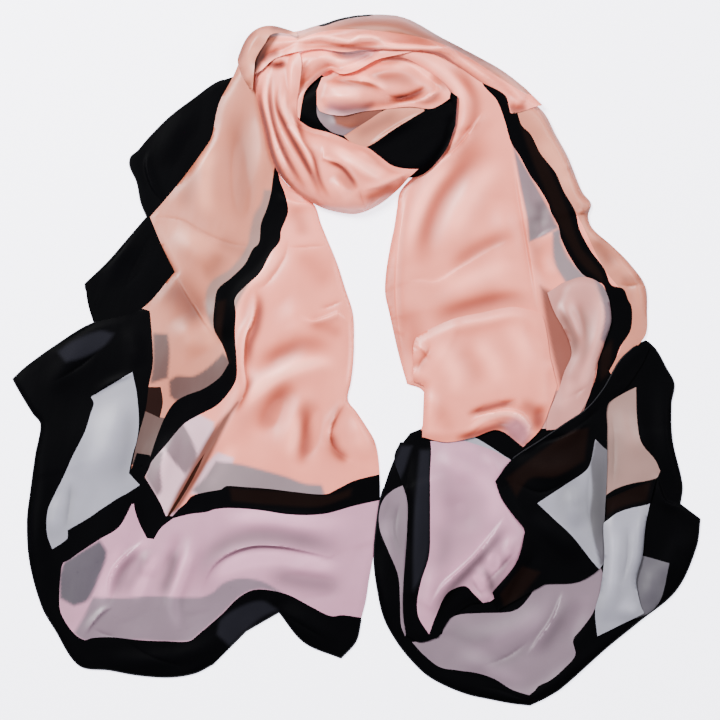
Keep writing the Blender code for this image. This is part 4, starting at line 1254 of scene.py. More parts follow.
# %% Right tail, the pouch, the hump and the turned corner
RIGHT_POUCH = Stretch(
    "right_pouch", "peach", "peach_satin", TAIL_STEP, edge_round=12.0, waves=0.9,
    sections=rows(Section,
        (413, 346, 413, 381, 5), (416, 338, 424, 386, 8), (428, 330, 422, 437, 8),
        (453, 319, 446, 442, 7), (480, 313, 474, 437, 6), (511, 307, 498, 430, 6),
        (526, 309, 523, 447, 7), (540, 314, 541, 428, 6), (545, 326, 551, 404, 5),
        (550, 358, 557, 386, 4)),
    folds=rows(Fold,
        ("swell", 8, 4, [(432, 336), (456, 326), (484, 320), (512, 314), (536, 320)]),
        ("swell", 16, 1.6, [(434, 334), (446, 356), (456, 376), (450, 400)]),
        ("swell", 14, -1, [(456, 336), (474, 362), (484, 390)]),
        ("swell", 16, 1.6, [(468, 336), (484, 350), (494, 366), (498, 388)]),
        ("swell", 16, 1.2, [(522, 330), (520, 360), (530, 392)]),
        ("lip", 8, 5, [(466, 424), (482, 415), (506, 412), (520, 415), (530, 427), (526, 444)]),
        ("valley", 6, -3, [(466, 415), (482, 410), (500, 405), (520, 398)]),
        ("valley", 5, -2.6, [(462, 440), (482, 428), (498, 424), (514, 424)]),
        ("swell", 9, 3.5, [(504, 420), (518, 422), (520, 438)]),
        ("lip", 5, 2.4, [(430, 360), (424, 351), (414, 344)]),
        ("valley", 4, -2.4, [(414, 378), (420, 364), (428, 352), (430, 340)]),
        ("swell", 9, 3.5, [(422, 390), (432, 404), (430, 428)]),
        ("swell", 7, -3, [(538, 404), (540, 418), (534, 432)])),
    shades=rows(Shade,
        (12, -0.7, [(436, 338), (448, 360), (456, 380), (450, 400)]),
        (12, -0.7, [(470, 338), (486, 354), (496, 370), (498, 392)]),
        (12, 0.5, [(456, 344), (472, 366), (480, 390)]),
        (4, 3.6, [(464, 415), (480, 410), (498, 405), (520, 401)]),
        (8, 2.0, [(516, 402), (530, 408), (538, 420), (538, 436)]),
        (4, -2.0, [(462, 434), (482, 420), (506, 413), (522, 418), (530, 432), (524, 446)]),
        (5, 3.8, [(452, 440), (470, 436), (486, 430), (500, 426), (512, 426)]),
        (7, 1.3, [(538, 400), (540, 416), (532, 432)]),
        (6, 1.3, [(416, 372), (422, 360), (429, 346)]),
        (12, -0.5, [(500, 324), (520, 340), (530, 372)]),
        (10, 0.6, [(430, 400), (446, 420), (450, 438)])),
    prints=rows(Print,
        ("rose", [(500, 424), (516, 416), (528, 424), (530, 436), (524, 448), (510, 440)])))

RIGHT_HUMP = Stretch(
    "right_hump", "blush", "peach_satin", TAIL_STEP, edge_round=11.0, waves=0.8,
    sections=rows(Section,
        (547, 293, 562, 283, 4), (551, 305, 584, 277, 8), (556, 316, 603, 287, 9),
        (563, 328, 611, 318, 9), (570, 345, 604, 343, 9), (571, 356, 597, 364, 8),
        (564, 372, 592, 386, 6), (559, 388, 588, 398, 5), (548, 414, 580, 413, 4),
        (546, 430, 572, 428, 3)),
    folds=rows(Fold,
        ("swell", 8, 3.5, [(556, 298), (570, 320), (578, 346)]),
        ("swell", 8, -3, [(572, 296), (582, 320), (586, 344)]),
        ("swell", 9, 3.5, [(588, 286), (600, 310), (596, 340), (584, 376)]),
        ("valley", 4, -1.6, [(590, 384), (576, 394), (562, 410)])),
    shades=rows(Shade,
        (6, 1.4, [(576, 300), (584, 322), (586, 346), (578, 372)]),
        (5, 2.6, [(558, 306), (569, 326), (575, 342), (574, 360)]),
        (6, -0.9, [(566, 292), (576, 316), (578, 340)]),
        (7, -1.3, [(592, 290), (604, 316), (598, 344), (586, 374), (570, 400)]),
        (8, -0.8, [(572, 376), (566, 394), (556, 412)]),
        (6, 0.8, [(598, 284), (608, 300)])),
    prints=rows(Print,
        ("lavender", [(590, 270), (606, 284), (613, 318), (606, 344), (600, 340), (604, 316),
         (600, 296)])))

RIGHT_CORNER_FOLD = Stretch(
    "right_corner_fold", "black", "black_satin", TAIL_STEP, edge_round=8.0, waves=0.8,
    sections=rows(Section,
        (636, 345, 650, 347, 0), (620, 360, 641, 366, 1), (603, 389, 624, 390, 3),
        (586, 409, 608, 404, 3), (564, 424, 607, 430, 4), (542, 439, 607, 446, 5),
        (511, 460, 607, 466, 5), (495, 481, 606, 490, 5), (502, 500, 605, 506, 5),
        (525, 530, 604, 535, 5), (516, 562, 604, 562, 4), (492, 592, 580, 581, 3),
        (498, 610, 545, 584, 2)),
    folds=rows(Fold,
        ("swell", 13, 4, [(520, 458), (550, 470), (586, 458)]),
        ("lip", 12, 3, [(540, 446), (570, 434), (598, 412)]),
        ("swell", 12, 4, [(530, 512), (556, 535), (580, 560)]),
        ("valley", 4, -1.5, [(510, 480), (540, 492), (570, 480)]),
        ("swell", 9, 4, [(574, 482), (572, 506), (578, 530)]),
        ("valley", 5, -2.4, [(590, 462), (588, 500), (592, 545)]),
        ("swell", 8, 3, [(520, 560), (505, 580), (498, 602)]),
        ("valley", 4, -1.8, [(535, 560), (520, 580), (512, 600)])),
    shades=rows(Shade,
        (10, 2.0, [(598, 448), (598, 500), (598, 555)]),
        (24, 1.1, [(550, 492), (574, 500), (590, 530)])),
    prints=rows(Print,
        ("silver", [(537, 503), (566, 484), (585, 471), (590, 463), (595, 439), (607, 450),
         (616, 452), (616, 492), (606, 498), (606, 571), (598, 568), (572, 536), (554, 519)]),
        # painted shade on the side of the silver fold that lies in shade
        ("silver_dim", [(590, 463), (595, 439), (616, 452), (616, 560), (600, 566), (590, 520),
         (592, 490)]),
        ("umber", [(506, 478), (540, 452), (570, 432), (588, 428), (584, 460), (556, 476),
         (530, 478), (516, 496)]),
        ("umber", [(500, 594), (522, 566), (540, 572), (520, 596), (504, 606)])))

RIGHT_SILVER_FOLD = Stretch(
    "right_silver_fold", "silver", "silver_satin", TAIL_STEP, edge_round=11.0, waves=0.6,
    sections=rows(Section,
        (606, 499, 656, 478, 3), (606, 514, 650, 502, 7), (603, 526, 645, 526, 9),
        (604, 555, 642, 556, 9), (600, 590, 636, 580, 8), (595, 610, 640, 604, 6),
        (597, 636, 644, 613, 3)),
    folds=rows(Fold,
        ("swell", 7, 3.5, [(616, 516), (614, 550), (612, 590), (606, 620)]),
        ("valley", 3, -1.6, [(626, 520), (627, 556), (620, 590)]),
        ("swell", 7, 3.5, [(638, 512), (636, 552), (628, 590)]),
        ("swell", 7, 2.5, [(616, 604), (628, 612), (640, 612)])),
    shades=rows(Shade,
        (8, -0.7, [(614, 520), (613, 555), (610, 600)]),
        (7, -0.6, [(620, 596), (632, 606), (640, 610)]),
        (7, 0.5, [(628, 530), (628, 560), (622, 586)])),
    prints=rows(Print,
        ("black", [(600, 494), (626, 484), (665, 472), (660, 498), (648, 504), (630, 508),
         (616, 513), (604, 522), (598, 524)]),
        ("umber", [(604, 500), (630, 488), (650, 482), (646, 500), (620, 507), (604, 516)])))
tell(RIGHT_POUCH, RIGHT_HUMP, RIGHT_CORNER_FOLD, RIGHT_SILVER_FOLD)

# %% [markdown]
# ## The neck
# Round the opening the cloth is gathered into soft rolls: the one across the back, a second
# one inside it, pleats at the left that turn into the wrap across the front, and a small roll
# and flat bands inside the opening.

# %% Neck, inside the opening
NECK_INNER_LAYERS = Stretch(
    "neck_inner_layers", "black", "peach_satin", KNOT_STEP, edge_round=12.0, waves=0.3,
    sections=rows(Section,
        (300, 90, 300, 128, 20), (322, 76, 326, 142, 20), (345, 96, 350, 156, 19),
        (372, 98, 378, 168, 18), (400, 98, 402, 178, 18), (424, 98, 424, 174, 18),
        (446, 92, 446, 150, 18), (457, 98, 455, 126, 18)),
    folds=rows(Fold,
        ("swell", 9, 2.5, [(326, 120), (346, 126), (362, 120)]),
        ("lip", 8, 2.5, [(365, 148), (390, 132), (424, 112)])),
    shades=rows(Shade,
        (4, 1.6, [(310, 104), (326, 115), (340, 118)]),
        (8, 1.3, [(350, 140), (372, 128), (404, 112)])),
    prints=rows(Print,
        ("peach", [(317, 100), (345, 96), (385, 98), (381, 113), (374, 118), (344, 137),
         (330, 132), (318, 118)]),
        ("lavender", [(312, 100), (345, 90), (390, 98), (385, 116), (376, 124), (344, 142),
         (326, 136), (312, 118)]),
        # painted shadow under the inner roll
        ("painted_deep_shade", [(330, 108), (350, 112), (370, 108), (388, 102), (390, 110), (370, 123),
         (352, 130), (336, 126)]),
        ("beige", [(344, 137), (366, 123), (385, 111), (420, 98), (424, 112), (396, 129),
         (366, 148), (352, 144)])))

NECK_INNER_ROLL = Stretch(
    "neck_inner_roll", "peach", "peach_satin", KNOT_STEP, edge_round=20.0, waves=0.5,
    sections=rows(Section,
        (317, 92, 317, 106, 22), (322, 79, 321, 113, 26), (342, 73, 342, 117, 29),
        (362, 67, 362, 113, 31), (384, 59, 388, 110, 31), (405, 60, 410, 108, 30),
        (430, 74, 430, 110, 27), (444, 86, 440, 106, 24), (450, 94, 449, 100, 20)),
    folds=rows(Fold,
        ("lip", 8, 4.5, [(391, 98), (384, 92), (372, 86), (352, 82), (324, 80)]),
        ("swell", 9, 3.5, [(328, 98), (346, 100), (364, 100)]),
        ("swell", 8, 4.5, [(350, 76), (376, 74), (402, 71), (426, 82)]),
        ("lip", 6, 4, [(386, 108), (404, 105), (424, 101), (437, 92), (434, 82), (424, 76)]),
        ("valley", 6, -5, [(388, 101), (404, 98), (420, 92), (428, 86)]),
        ("valley", 3, -2.4, [(384, 96), (396, 99), (410, 97)]),
        ("swell", 5, 2.4, [(390, 106), (408, 108), (428, 106)])),
    shades=rows(Shade,
        (4, 5.0, [(386, 100), (398, 100), (410, 98), (420, 93), (426, 86)]),
        (5, 2.4, [(324, 81), (350, 85), (372, 88), (386, 94)]),
        (5, -1.6, [(352, 80), (374, 84), (388, 92)]),
        (4, 2.2, [(330, 110), (348, 113), (364, 110), (378, 102)]),
        (8, -0.8, [(330, 94), (350, 96), (366, 98)]),
        (8, 1.9, [(362, 77), (384, 79), (406, 82), (418, 90)]),
        (5, 1.8, [(428, 74), (441, 84), (447, 94)]),
        (3, 5.0, [(376, 62), (392, 60), (406, 61), (422, 66), (436, 77)]),
        (5, -1.8, [(388, 70), (408, 66), (428, 78), (438, 90)])),
    prints=rows(Print,
        # painted mauve shade on the left lobe of the roll
        ("rose", [(330, 104), (350, 106), (372, 106), (364, 118), (340, 120), (322, 114)])))

NECK_SECOND_ROLL = Stretch(
    "neck_second_roll", "peach", "peach_satin", KNOT_STEP, edge_round=12.0, waves=0.4,
    sections=rows(Section,
        (414, 48, 414, 53, 16), (396, 46, 396, 57, 20), (372, 46, 376, 62, 24),
        (350, 50, 356, 73, 26), (330, 46, 342, 76, 27), (312, 46, 331, 71, 28),
        (298, 50, 320, 78, 28), (291, 64, 306, 92, 28), (288, 88, 302, 106, 28),
        (288, 108, 300, 120, 27)),
    folds=rows(Fold,
        ("lip", 7, 3.5, [(388, 54), (370, 62), (354, 69), (344, 71), (332, 66), (320, 62)]),
        ("swell", 7, 4, [(376, 51), (356, 58), (342, 64), (328, 60), (314, 51)]),
        ("valley", 4, -3, [(368, 52), (352, 52), (338, 54), (324, 50)]),
        ("swell", 6, 4, [(306, 54), (297, 66), (297, 82), (294, 100)]),
        ("valley", 4, -3, [(314, 58), (305, 68), (304, 84), (297, 100)]),
        ("swell", 5, 3, [(318, 72), (310, 86), (302, 98), (298, 114)])),
    shades=rows(Shade,
        (6, 2.4, [(374, 54), (358, 55), (342, 57), (326, 54)]),
        (4, 3.2, [(340, 74), (326, 74), (312, 84), (304, 100)]),
        (5, -1.8, [(372, 60), (352, 66), (334, 62), (318, 54)]),
        (5, 2.6, [(308, 62), (303, 76), (300, 92)]),
        (5, -1.8, [(297, 60), (296, 78), (292, 100)])),
    prints=rows(Print,
        # painted mauve shade below the upper fold of the roll
        ("rose", [(380, 50), (366, 52), (350, 53), (336, 52), (346, 60), (366, 60)])))
tell(NECK_INNER_LAYERS, NECK_INNER_ROLL, NECK_SECOND_ROLL)

# %% [markdown]
# ## The neck: pleats and front wrap
# At the left the cloth is gathered into narrow pleats, and these turn into the wrap across
# the front. The folds raise the pleats, and painted shade makes the dark lines between them.

# %% Neck, the pleats and the front wrap
NECK_WRAP = Stretch(
    "neck_wrap", "peach", "peach_satin", KNOT_STEP, edge_round=16.0, waves=0.5,
    sections=rows(Section,
        (263, 62, 298, 50, 20), (256, 74, 302, 64, 23), (256, 92, 300, 86, 26),
        (260, 112, 297, 106, 28), (266, 138, 298, 121, 30), (272, 158, 311, 129, 32),
        (277, 171, 326, 133, 33), (289, 186, 340, 138, 34), (304, 198, 355, 145, 34),
        (322, 208, 368, 149, 34), (340, 213, 379, 157, 33), (358, 214, 391, 166, 31),
        (379, 205, 401, 169, 29), (398, 190, 411, 170, 26), (409, 178, 418, 170, 24)),
    folds=rows(Fold,
        ("valley", 4, -4.5, [(263, 76), (261, 100), (268, 131), (274, 158), (286, 180),
         (304, 199)]),
        ("swell", 4, 3.5, [(268, 72), (266, 100), (272, 128), (279, 154), (292, 176), (308, 195)]),
        ("valley", 4, -4.5, [(274, 72), (271, 98), (274, 124), (284, 152), (297, 176),
         (312, 196)]),
        ("swell", 5, 4, [(276, 84), (274, 104), (280, 128), (292, 152), (304, 172), (316, 190)]),
        ("valley", 4, -4.5, [(280, 80), (278, 106), (289, 132), (304, 160), (315, 182),
         (324, 204)]),
        ("swell", 6, 4.5, [(286, 80), (285, 106), (296, 130), (308, 152), (318, 176), (330, 202)]),
        ("valley", 4, -3.5, [(290, 98), (297, 122), (303, 140), (314, 158), (321, 182),
         (334, 206)]),
        ("swell", 5, 3.5, [(292, 58), (292, 76), (292, 92), (290, 106)]),
        ("valley", 5, -5, [(272, 66), (279, 67), (287, 64)]),
        ("lip", 7, 4, [(359, 193), (351, 178), (341, 167), (324, 160), (323, 141)]),
        ("lip", 8, 3.5, [(414, 172), (404, 177), (385, 186), (360, 192)]),
        ("valley", 4, -4, [(359, 190), (362, 200), (366, 212)]),
        ("valley", 3, -3, [(376, 197), (370, 204), (365, 212)]),
        ("swell", 8, 4, [(334, 148), (352, 162), (372, 176), (388, 178)]),
        ("swell", 7, 4, [(330, 178), (342, 190), (352, 204)]),
        ("swell", 5, 3, [(304, 126), (320, 134), (340, 142), (356, 150), (374, 160), (394, 170)])),
    shades=rows(Shade,
        (3.6, 4.4, [(262, 78), (261, 102), (268, 133), (274, 158), (286, 181), (302, 198)]),
        (3.6, 4.4, [(273, 72), (270, 98), (274, 126), (284, 153), (297, 177), (310, 196)]),
        (3.4, 4.2, [(280, 84), (278, 108), (289, 134), (304, 161), (315, 183), (322, 202)]),
        (3.4, 3.8, [(291, 100), (298, 124), (304, 142), (314, 160), (321, 184), (332, 204)]),
        (4.5, 4.6, [(266, 62), (272, 66), (280, 67), (288, 62)]),
        (3, -2.4, [(268, 76), (266, 102), (272, 130), (280, 156), (293, 178)]),
        (4, -2.4, [(285, 90), (286, 110), (297, 132), (309, 154), (319, 178)]),
        (3, 4.0, [(326, 162), (342, 169), (352, 181), (358, 192)]),
        (5, 2.2, [(360, 198), (370, 198), (384, 192), (398, 184)]),
        (7, -1.5, [(330, 146), (350, 160), (372, 172), (392, 174)]),
        (7, -0.7, [(330, 182), (344, 194), (352, 206)]),
        (8, 1.3, [(334, 172), (346, 184), (354, 196)])))
tell(NECK_WRAP)

# %% [markdown]
# ## The neck: what lies on top
# The roll across the back lies on the start of the right tail, and a small fold stands up at
# the left shoulder.

# %% Neck, the back roll and the shoulder fold
BACK_NECK_ROLL = Stretch(
    "back_neck_roll", "peach", "peach_satin", KNOT_STEP, edge_round=20.0, waves=0.6,
    sections=rows(Section,
        (249, 79, 262, 72, 20), (243, 63, 276, 60, 25), (246, 46, 298, 54, 28),
        (256, 31, 320, 51, 31), (290, 33, 334, 53, 34), (320, 25, 346, 54, 35),
        (347, 17.5, 362, 52, 36), (375, 15, 392, 52, 36), (405, 18.5, 431, 55, 35),
        (443, 39, 456, 67, 32), (479, 58, 480, 83, 28), (502, 71, 504, 96, 25),
        (524, 88, 511, 113, 21), (534, 98, 519, 113, 18), (542, 106, 533, 108, 16)),
    folds=rows(Fold,
        ("lip", 9, 5, [(266, 62), (276, 56), (288, 52), (300, 44), (318, 39), (338, 42), (350, 44),
         (361, 40), (375, 41), (388, 48), (404, 49), (437, 50), (450, 52), (460, 61), (480, 75),
         (502, 88), (520, 97), (532, 105)]),
        ("swell", 7, -2, [(290, 44), (316, 33), (344, 34), (376, 33), (412, 41), (448, 46),
         (474, 64), (500, 79)]),
        ("swell", 12, 1, [(300, 36), (330, 26), (366, 22), (410, 26), (446, 46), (480, 64)]),
        ("valley", 3, -2.4, [(430, 52), (446, 56), (458, 66)]),
        ("swell", 5, 2.5, [(508, 94), (514, 104), (526, 106)])),
    shades=rows(Shade,
        (13, 2.3, [(290, 42), (320, 30), (352, 24), (392, 25), (430, 40), (466, 56), (500, 76),
         (526, 94)]),
        (4, -2.0, [(274, 58), (290, 51), (302, 44), (320, 40), (340, 43), (360, 41), (376, 42),
         (400, 49), (438, 51), (460, 62), (484, 78), (506, 91), (528, 103)]),
        (3, 4.2, [(300, 52), (330, 48), (356, 50), (388, 53), (436, 55), (456, 68), (482, 84),
         (504, 97)]),
        (5, 3.0, [(508, 104), (514, 111), (528, 108)]),
        (4, 3.0, [(262, 66), (268, 58), (282, 52)]),
        (5, 2.0, [(254, 74), (257, 60), (263, 48), (270, 38)])),
    prints=rows(Print,
        ("beige", [(290, 36), (320, 24), (350, 14), (410, 14), (460, 42), (524, 84), (536, 96),
         (524, 94), (500, 80), (460, 54), (430, 42), (396, 36), (356, 32), (322, 34), (298, 42)]),
        ("black", [(316, 27), (335, 20), (352, 10), (378, 8), (372, 16.5), (356, 19), (338, 23),
         (324, 28)]),
        # painted shade of the pocket under the shoulder fold
        ("painted_deep_shade", [(250, 76), (252, 56), (258, 40), (266, 30), (278, 30), (279, 37), (275, 45),
         (269, 53), (264, 62), (258, 76)])))

LEFT_SHOULDER_FOLD = Stretch(
    "left_shoulder_fold", "beige", "peach_satin", KNOT_STEP, edge_round=9.0, waves=0.4,
    sections=rows(Section,
        (250, 90, 253, 91, 6), (242, 76, 254, 82, 12), (238, 62, 255, 70, 20),
        (241, 52, 256, 62, 25), (247, 40, 260, 54, 29), (255, 32, 266, 45, 31),
        (265, 27.5, 271, 37, 32), (276, 27.5, 279, 35, 32), (287, 31, 288, 36, 29),
        (297, 35, 298, 39, 28)),
    folds=rows(Fold,
        ("swell", 6, 3, [(246, 70), (249, 54), (256, 40), (268, 31)])),
    shades=rows(Shade,
        (7, 1.3, [(238, 68), (242, 52), (250, 38), (262, 30)]),
        (5, 1.6, [(268, 30), (280, 31), (294, 36)]),
        (4, -0.6, [(250, 72), (252, 58), (258, 46)])))
tell(BACK_NECK_ROLL, LEFT_SHOULDER_FOLD)

# %% [markdown]
# ## Laying the scarf
# The stretches are laid from the table upwards, as hands would do it. The grain is the angle
# of the long threads on the table, in radians.

# %% Laying the scarf
Laying = namedtuple("Laying", "stretch grain held rests_on")
LAYINGS = rows(
    Laying,
    (LEFT_UNDER_LAYER, 1.2, "laid", []),
    (LEFT_HIDDEN_LAYERS, 1.4, "folded", []),
    (LEFT_TAIL, 1.3, "laid", ["left_under_layer", "left_hidden_layers"]),
    (RIGHT_END, 1.9, "folded", []),
    (RIGHT_END_PANEL, 1.9, "folded", ["right_end"]),
    (KNOT_HIDDEN_LAYERS, 0.2, "folded", []),
    (RIGHT_TAIL, 1.8, "laid", ["right_end", "knot_hidden_layers"]),
    (RIGHT_POUCH, 0.1, "folded", ["right_tail"]),
    (RIGHT_HUMP, 1.7, "folded", ["right_tail"]),
    (RIGHT_CORNER_FOLD, 2.3, "folded", ["right_end"]),
    (RIGHT_SILVER_FOLD, 1.6, "folded", ["right_end"]),
    (NECK_INNER_LAYERS, 0.4, "folded", ["knot_hidden_layers"]),
    (NECK_INNER_ROLL, 0.1, "gathered", ["knot_hidden_layers"]),
    (NECK_SECOND_ROLL, 0.3, "gathered", ["knot_hidden_layers"]),
    (NECK_WRAP, 0.8, "gathered", ["knot_hidden_layers"]),
    (BACK_NECK_ROLL, 0.2, "gathered", ["right_tail"]),
    (LEFT_SHOULDER_FOLD, 1.0, "gathered", ["left_tail"]))
cloths = {laying.stretch.node: lay(laying.stretch, laying.grain) for laying in LAYINGS}

# %% [markdown]
# ## The rolled hem
# The raw edge is rolled to a thin cord and caught with small slanting stitches, about 3 mm
# apart. Geometry Nodes suit that: one branch of the tree sweeps a round section along any
# edge, the other sets a stitch on every few millimetres of it, turned to slant and raised to
# the top of the cord. The sizes are its named inputs.

# %% The sizes and materials of the hem
HEM_RADIUS = 0.9 * MM
HEM_SIZES = {"Hem radius": HEM_RADIUS, "Stitch pitch": 3.2 * MM,
             "Stitch length": 2.2 * MM, "Thread radius": 0.22 * MM}
RIB = 1.2 * MM  # spacing of the fine ribs round the cord
SPECKLE = 4 * MM  # size of the patches where the dye varies


def hem_material(name, code, roughness):
    """Rolled satin edge or spun sewing thread: fine slanting ribs along the cord."""
    material, tree, shader = blank_material(name)
    where = node(tree, "ShaderNodeTexCoord")
    ribs = node(tree, "ShaderNodeTexWave", {"bands_direction": "DIAGONAL"},
                Vector=where.outputs["Object"], Scale=WAVE_BAND / RIB, Distortion=1.0)
    speckle = node(tree, "ShaderNodeTexNoise", Vector=where.outputs["Object"],
                   Scale=1 / SPECKLE)
    tone = node(tree, "ShaderNodeMapRange", Value=speckle.outputs["Fac"], From_Min=0.3,
                From_Max=0.7, To_Min=0.8, To_Max=1.25)
    colour = node(tree, "ShaderNodeHueSaturation", Color=(*linear(code), 1.0),
                  Value=tone.outputs["Result"])
    tree.links.new(colour.outputs["Color"], shader.inputs["Base Color"])
    relief = node(tree, "ShaderNodeBump", Height=ribs.outputs["Fac"], Strength=0.4,
                  Distance=0.15 * MM)
    tree.links.new(relief.outputs["Normal"], shader.inputs["Normal"])
    shader.inputs["Roughness"].default_value = roughness
    shader.inputs["Specular IOR Level"].default_value = 0.12
    return material


HEM_SATIN = hem_material("rolled_satin_hem", "#0C0C10", 0.45)
HEM_THREAD = hem_material("black_sewing_thread", "#1A1A20", 0.6)
print("hem sizes in mm:", {size: round(value / MM, 2) for size, value in HEM_SIZES.items()})

# %% The hem tree
STITCH_LEAN = 0.55  # radians by which a stitch slants across the cord


def hem_cord(tree, given, curve):
    """The rolled edge: a round section swept along the curve."""
    section = node(tree, "GeometryNodeCurvePrimitiveCircle", Resolution=8,
                   Radius=given.outputs["Hem radius"])
    roll = node(tree, "GeometryNodeCurveToMesh", Curve=curve.outputs["Curve"],
                Profile_Curve=section.outputs["Curve"], Fill_Caps=True)
    return node(tree, "GeometryNodeSetMaterial", Geometry=roll.outputs["Mesh"],
                Material=HEM_SATIN)


def hem_stitches(tree, given, curve):
    """The sewing: a slanting thread on each spot of the curve."""
    spots = node(tree, "GeometryNodeCurveToPoints", {"mode": "LENGTH"},
                 Curve=curve.outputs["Curve"], Length=given.outputs["Stitch pitch"])
    thread = node(tree, "GeometryNodeMeshCylinder", Vertices=6, Side_Segments=1,
                  Fill_Segments=1, Radius=given.outputs["Thread radius"],
                  Depth=given.outputs["Stitch length"])
    lean = node(tree, "FunctionNodeRotateRotation", {"rotation_space": "LOCAL"},
                Rotation=spots.outputs["Rotation"], Rotate_By=(0.0, STITCH_LEAN, 0.0))
    stitches = node(tree, "GeometryNodeInstanceOnPoints", Points=spots.outputs["Points"],
                    Instance=thread.outputs["Mesh"], Rotation=lean.outputs["Rotation"])
    above = node(tree, "ShaderNodeCombineXYZ", Z=given.outputs["Hem radius"])
    raised = node(tree, "GeometryNodeTranslateInstances", Instances=stitches.outputs["Instances"],
                  Translation=above.outputs["Vector"])
    raised.inputs["Local Space"].default_value = False
    plain = node(tree, "GeometryNodeRealizeInstances", Geometry=raised.outputs["Instances"])
    return node(tree, "GeometryNodeSetMaterial", Geometry=plain.outputs["Geometry"],
                Material=HEM_THREAD)


def hem_tree():
    """A Geometry Nodes tree that turns a line of edges into a sewn, rolled hem."""
    tree = bpy.data.node_groups.new("rolled_hem", "GeometryNodeTree")
    face = tree.interface
    face.new_socket("Edge", in_out="INPUT", socket_type="NodeSocketGeometry")
    for size in HEM_SIZES:
        face.new_socket(size, in_out="INPUT", socket_type="NodeSocketFloat")
    face.new_socket("Hem", in_out="OUTPUT", socket_type="NodeSocketGeometry")
    given = node(tree, "NodeGroupInput")
    result = node(tree, "NodeGroupOutput")
    curve = node(tree, "GeometryNodeMeshToCurve", Mesh=given.outputs["Edge"])
    both = node(tree, "GeometryNodeJoinGeometry")
    for part in (hem_cord(tree, given, curve), hem_stitches(tree, given, curve)):
        tree.links.new(part.outputs["Geometry"], both.inputs["Geometry"])
    tree.links.new(both.outputs["Geometry"], result.inputs["Hem"])
    return tree


HEM_TREE = hem_tree()
print("hem tree with", len(HEM_TREE.nodes), "nodes")

# %% [markdown]
# ## Sewing an edge
# A hem follows the edge of a laid sheet and is sunk into it a little, so that the cloth seems
# to roll into it. The tree's result is kept as a plain mesh.

# %% Sewing an edge
HEM_SPACING = 1.5 * MM  # least distance between two points of a hem
HEM_SINK = 0.4 * MM


def between(edge, start, end):
    """The part of an edge from the point nearest one board spot to that nearest another."""
    first, last = (np.linalg.norm(edge[:, :2] - place(*spot), axis=1).argmin()
                   for spot in (start, end))
    return edge[first:last + 1] if first <= last else edge[last:first + 1][::-1]


def hem_line(path):
    """The path with its points spaced out and sunk into the cloth, but not into the table."""
    spaced = [path[0]]
    for spot in path[1:]:
        if np.linalg.norm(spot - spaced[-1]) > HEM_SPACING:
            spaced.append(spot)
    spaced = np.array(spaced)
    spaced[:, 2] = np.maximum(spaced[:, 2] - HEM_SINK, HEM_RADIUS)
    return spaced


def hem(name, path):
    """Sweep the hem along a path in space and return it as a plain mesh object."""
    spaced = hem_line(path)
    line = bpy.data.meshes.new(name)
    line.from_pydata(spaced.tolist(), [(k, k + 1) for k in range(len(spaced) - 1)], [])
    carrier = add_object(name + "_path", line)
    modifier = carrier.modifiers.new("hem", "NODES")
    modifier.node_group = HEM_TREE
    sockets = {item.name: item.identifier for item in HEM_TREE.interface.items_tree
               if item.item_type == "SOCKET" and item.in_out == "INPUT"}
    for size, value in HEM_SIZES.items():
        modifier[sockets[size]] = value
    shape = carrier.evaluated_get(bpy.context.evaluated_depsgraph_get())
    mesh = bpy.data.meshes.new_from_object(shape)
    bpy.data.objects.remove(carrier)
    mesh.shade_smooth()
    piece = add_object(name, mesh)
    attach(piece, "root")
    length = np.linalg.norm(np.diff(spaced, axis=0), axis=1).sum()
    print(name, round(length, 2), "m,", len(mesh.polygons), "faces")
    return piece


# %% [markdown]
# ## The hems that show
# Each path begins and ends at a spot of the board, where the cloth goes under another fold.
# The two tail ends turn a corner, so their path is made of two edges.

# %% The hems that show
left_edges, end_edges = laid["left_tail"], laid["right_end"]
Hem = namedtuple("Hem", "node name path")
HEMS = rows(
    Hem,
    ("left_under_layer", "left_under_hem",
     between(laid["left_under_layer"]["left"], (222, 80), (86, 290))),
    ("left_tail", "left_end_hem",
     np.vstack([between(left_edges["left"], (96, 323), (213, 664)),
                between(left_edges["right"], (246, 631), (361, 621))])),
    ("right_end", "right_end_hem",
     np.vstack([between(end_edges["left"], (384, 488), (530, 705)),
                between(end_edges["right"], (545, 698), (648, 342))])),
    ("right_corner_fold", "right_corner_hem",
     between(laid["right_corner_fold"]["left"], (634, 347), (514, 458))))
hems = {row.node: hem(row.name, row.path) for row in HEMS}

# %% [markdown]
# ## The area of the sheets
# Each stretch is a free sheet of the one cut cloth. Laid flat it is about as wide as at its
# widest place, and it is longer than it looks, because the folds take up some of the cloth.
# Here the areas of all sheets, seen from above, are added up beside the area of the cut.

# %% The area of the sheets
total = sum(sheet["area"] for sheet in laid.values())
print("sheets of", round(total, 2), "square metres, of a cut of", round(CUT_WIDTH * CUT_LENGTH, 2))

# %% [markdown]
# ## The table
# A table painted matte white: no gloss, and so bright that it looks plain, as in the photo.
# Its glow stands for the light that a bright room throws back at it.

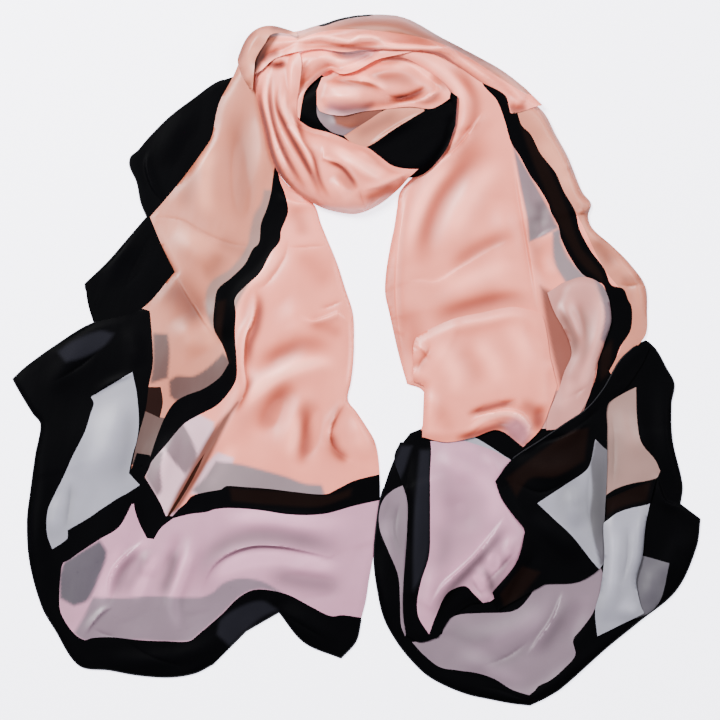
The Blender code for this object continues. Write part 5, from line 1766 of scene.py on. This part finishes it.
# %% The table
TABLE_GAP = 0.6 * MM
bpy.ops.mesh.primitive_plane_add(size=8.0, location=(0, 0, -TABLE_GAP))
table = bpy.context.object
table.name = "white_table"
paper, _, surface = blank_material("matte_white_table")
surface.inputs["Base Color"].default_value = (*linear("#F1F0F5"), 1.0)
surface.inputs["Roughness"].default_value = 0.9
surface.inputs["Specular IOR Level"].default_value = 0.1
surface.inputs["Emission Color"].default_value = (*linear("#EFEEFF"), 1.0)
surface.inputs["Emission Strength"].default_value = 3.1
table.data.materials.append(paper)
print("table", round(TABLE_GAP / MM, 1), "mm below the scarf")

# %% [markdown]
# ## Light
# Soft daylight from a window at the top left, a weaker fill from the right, and a dim room
# all round. A large light makes soft shadows, and wide streaks of gloss on satin.

# %% Light
world = bpy.data.worlds.new("soft_room")
world.use_nodes = True
background = world.node_tree.nodes["Background"]
background.inputs["Color"].default_value = (0.93, 0.94, 1.0, 1.0)
background.inputs["Strength"].default_value = 0.4
bpy.context.scene.world = world


def softbox(name, side, power, spot):
    """A square area light at a spot, turned to the middle of the scarf."""
    light = bpy.data.lights.new(name, "AREA")
    light.shape = "RECTANGLE"
    light.size = light.size_y = side
    light.energy = power
    lamp = add_object(name, light)
    lamp.location = spot
    lamp.rotation_euler = (-Vector(spot)).to_track_quat("-Z", "Y").to_euler()
    print(name, power, "W,", round(Vector(spot).length, 2), "m away")


softbox("window_light", 0.9, 190, (-1.05, 1.2, 2.0))
softbox("fill_light", 1.2, 55, (1.5, 0.7, 2.1))

# %% [markdown]
# ## Camera
# The photo is taken from straight above. A camera at 4 m sees the board without much
# perspective, and its lens is as long as it takes to fill the picture with the board.

# %% Camera
CAMERA_HEIGHT = 4.0
camera_data = bpy.data.cameras.new("camera")
camera_data.sensor_width = 36.0
camera_data.lens = camera_data.sensor_width * CAMERA_HEIGHT / BOARD_SIDE
camera = add_object("camera", camera_data)
camera.location = (*place(BOARD_RULING / 2, BOARD_RULING / 2), CAMERA_HEIGHT)
bpy.context.scene.camera = camera
print("lens", round(camera_data.lens, 1), "mm")
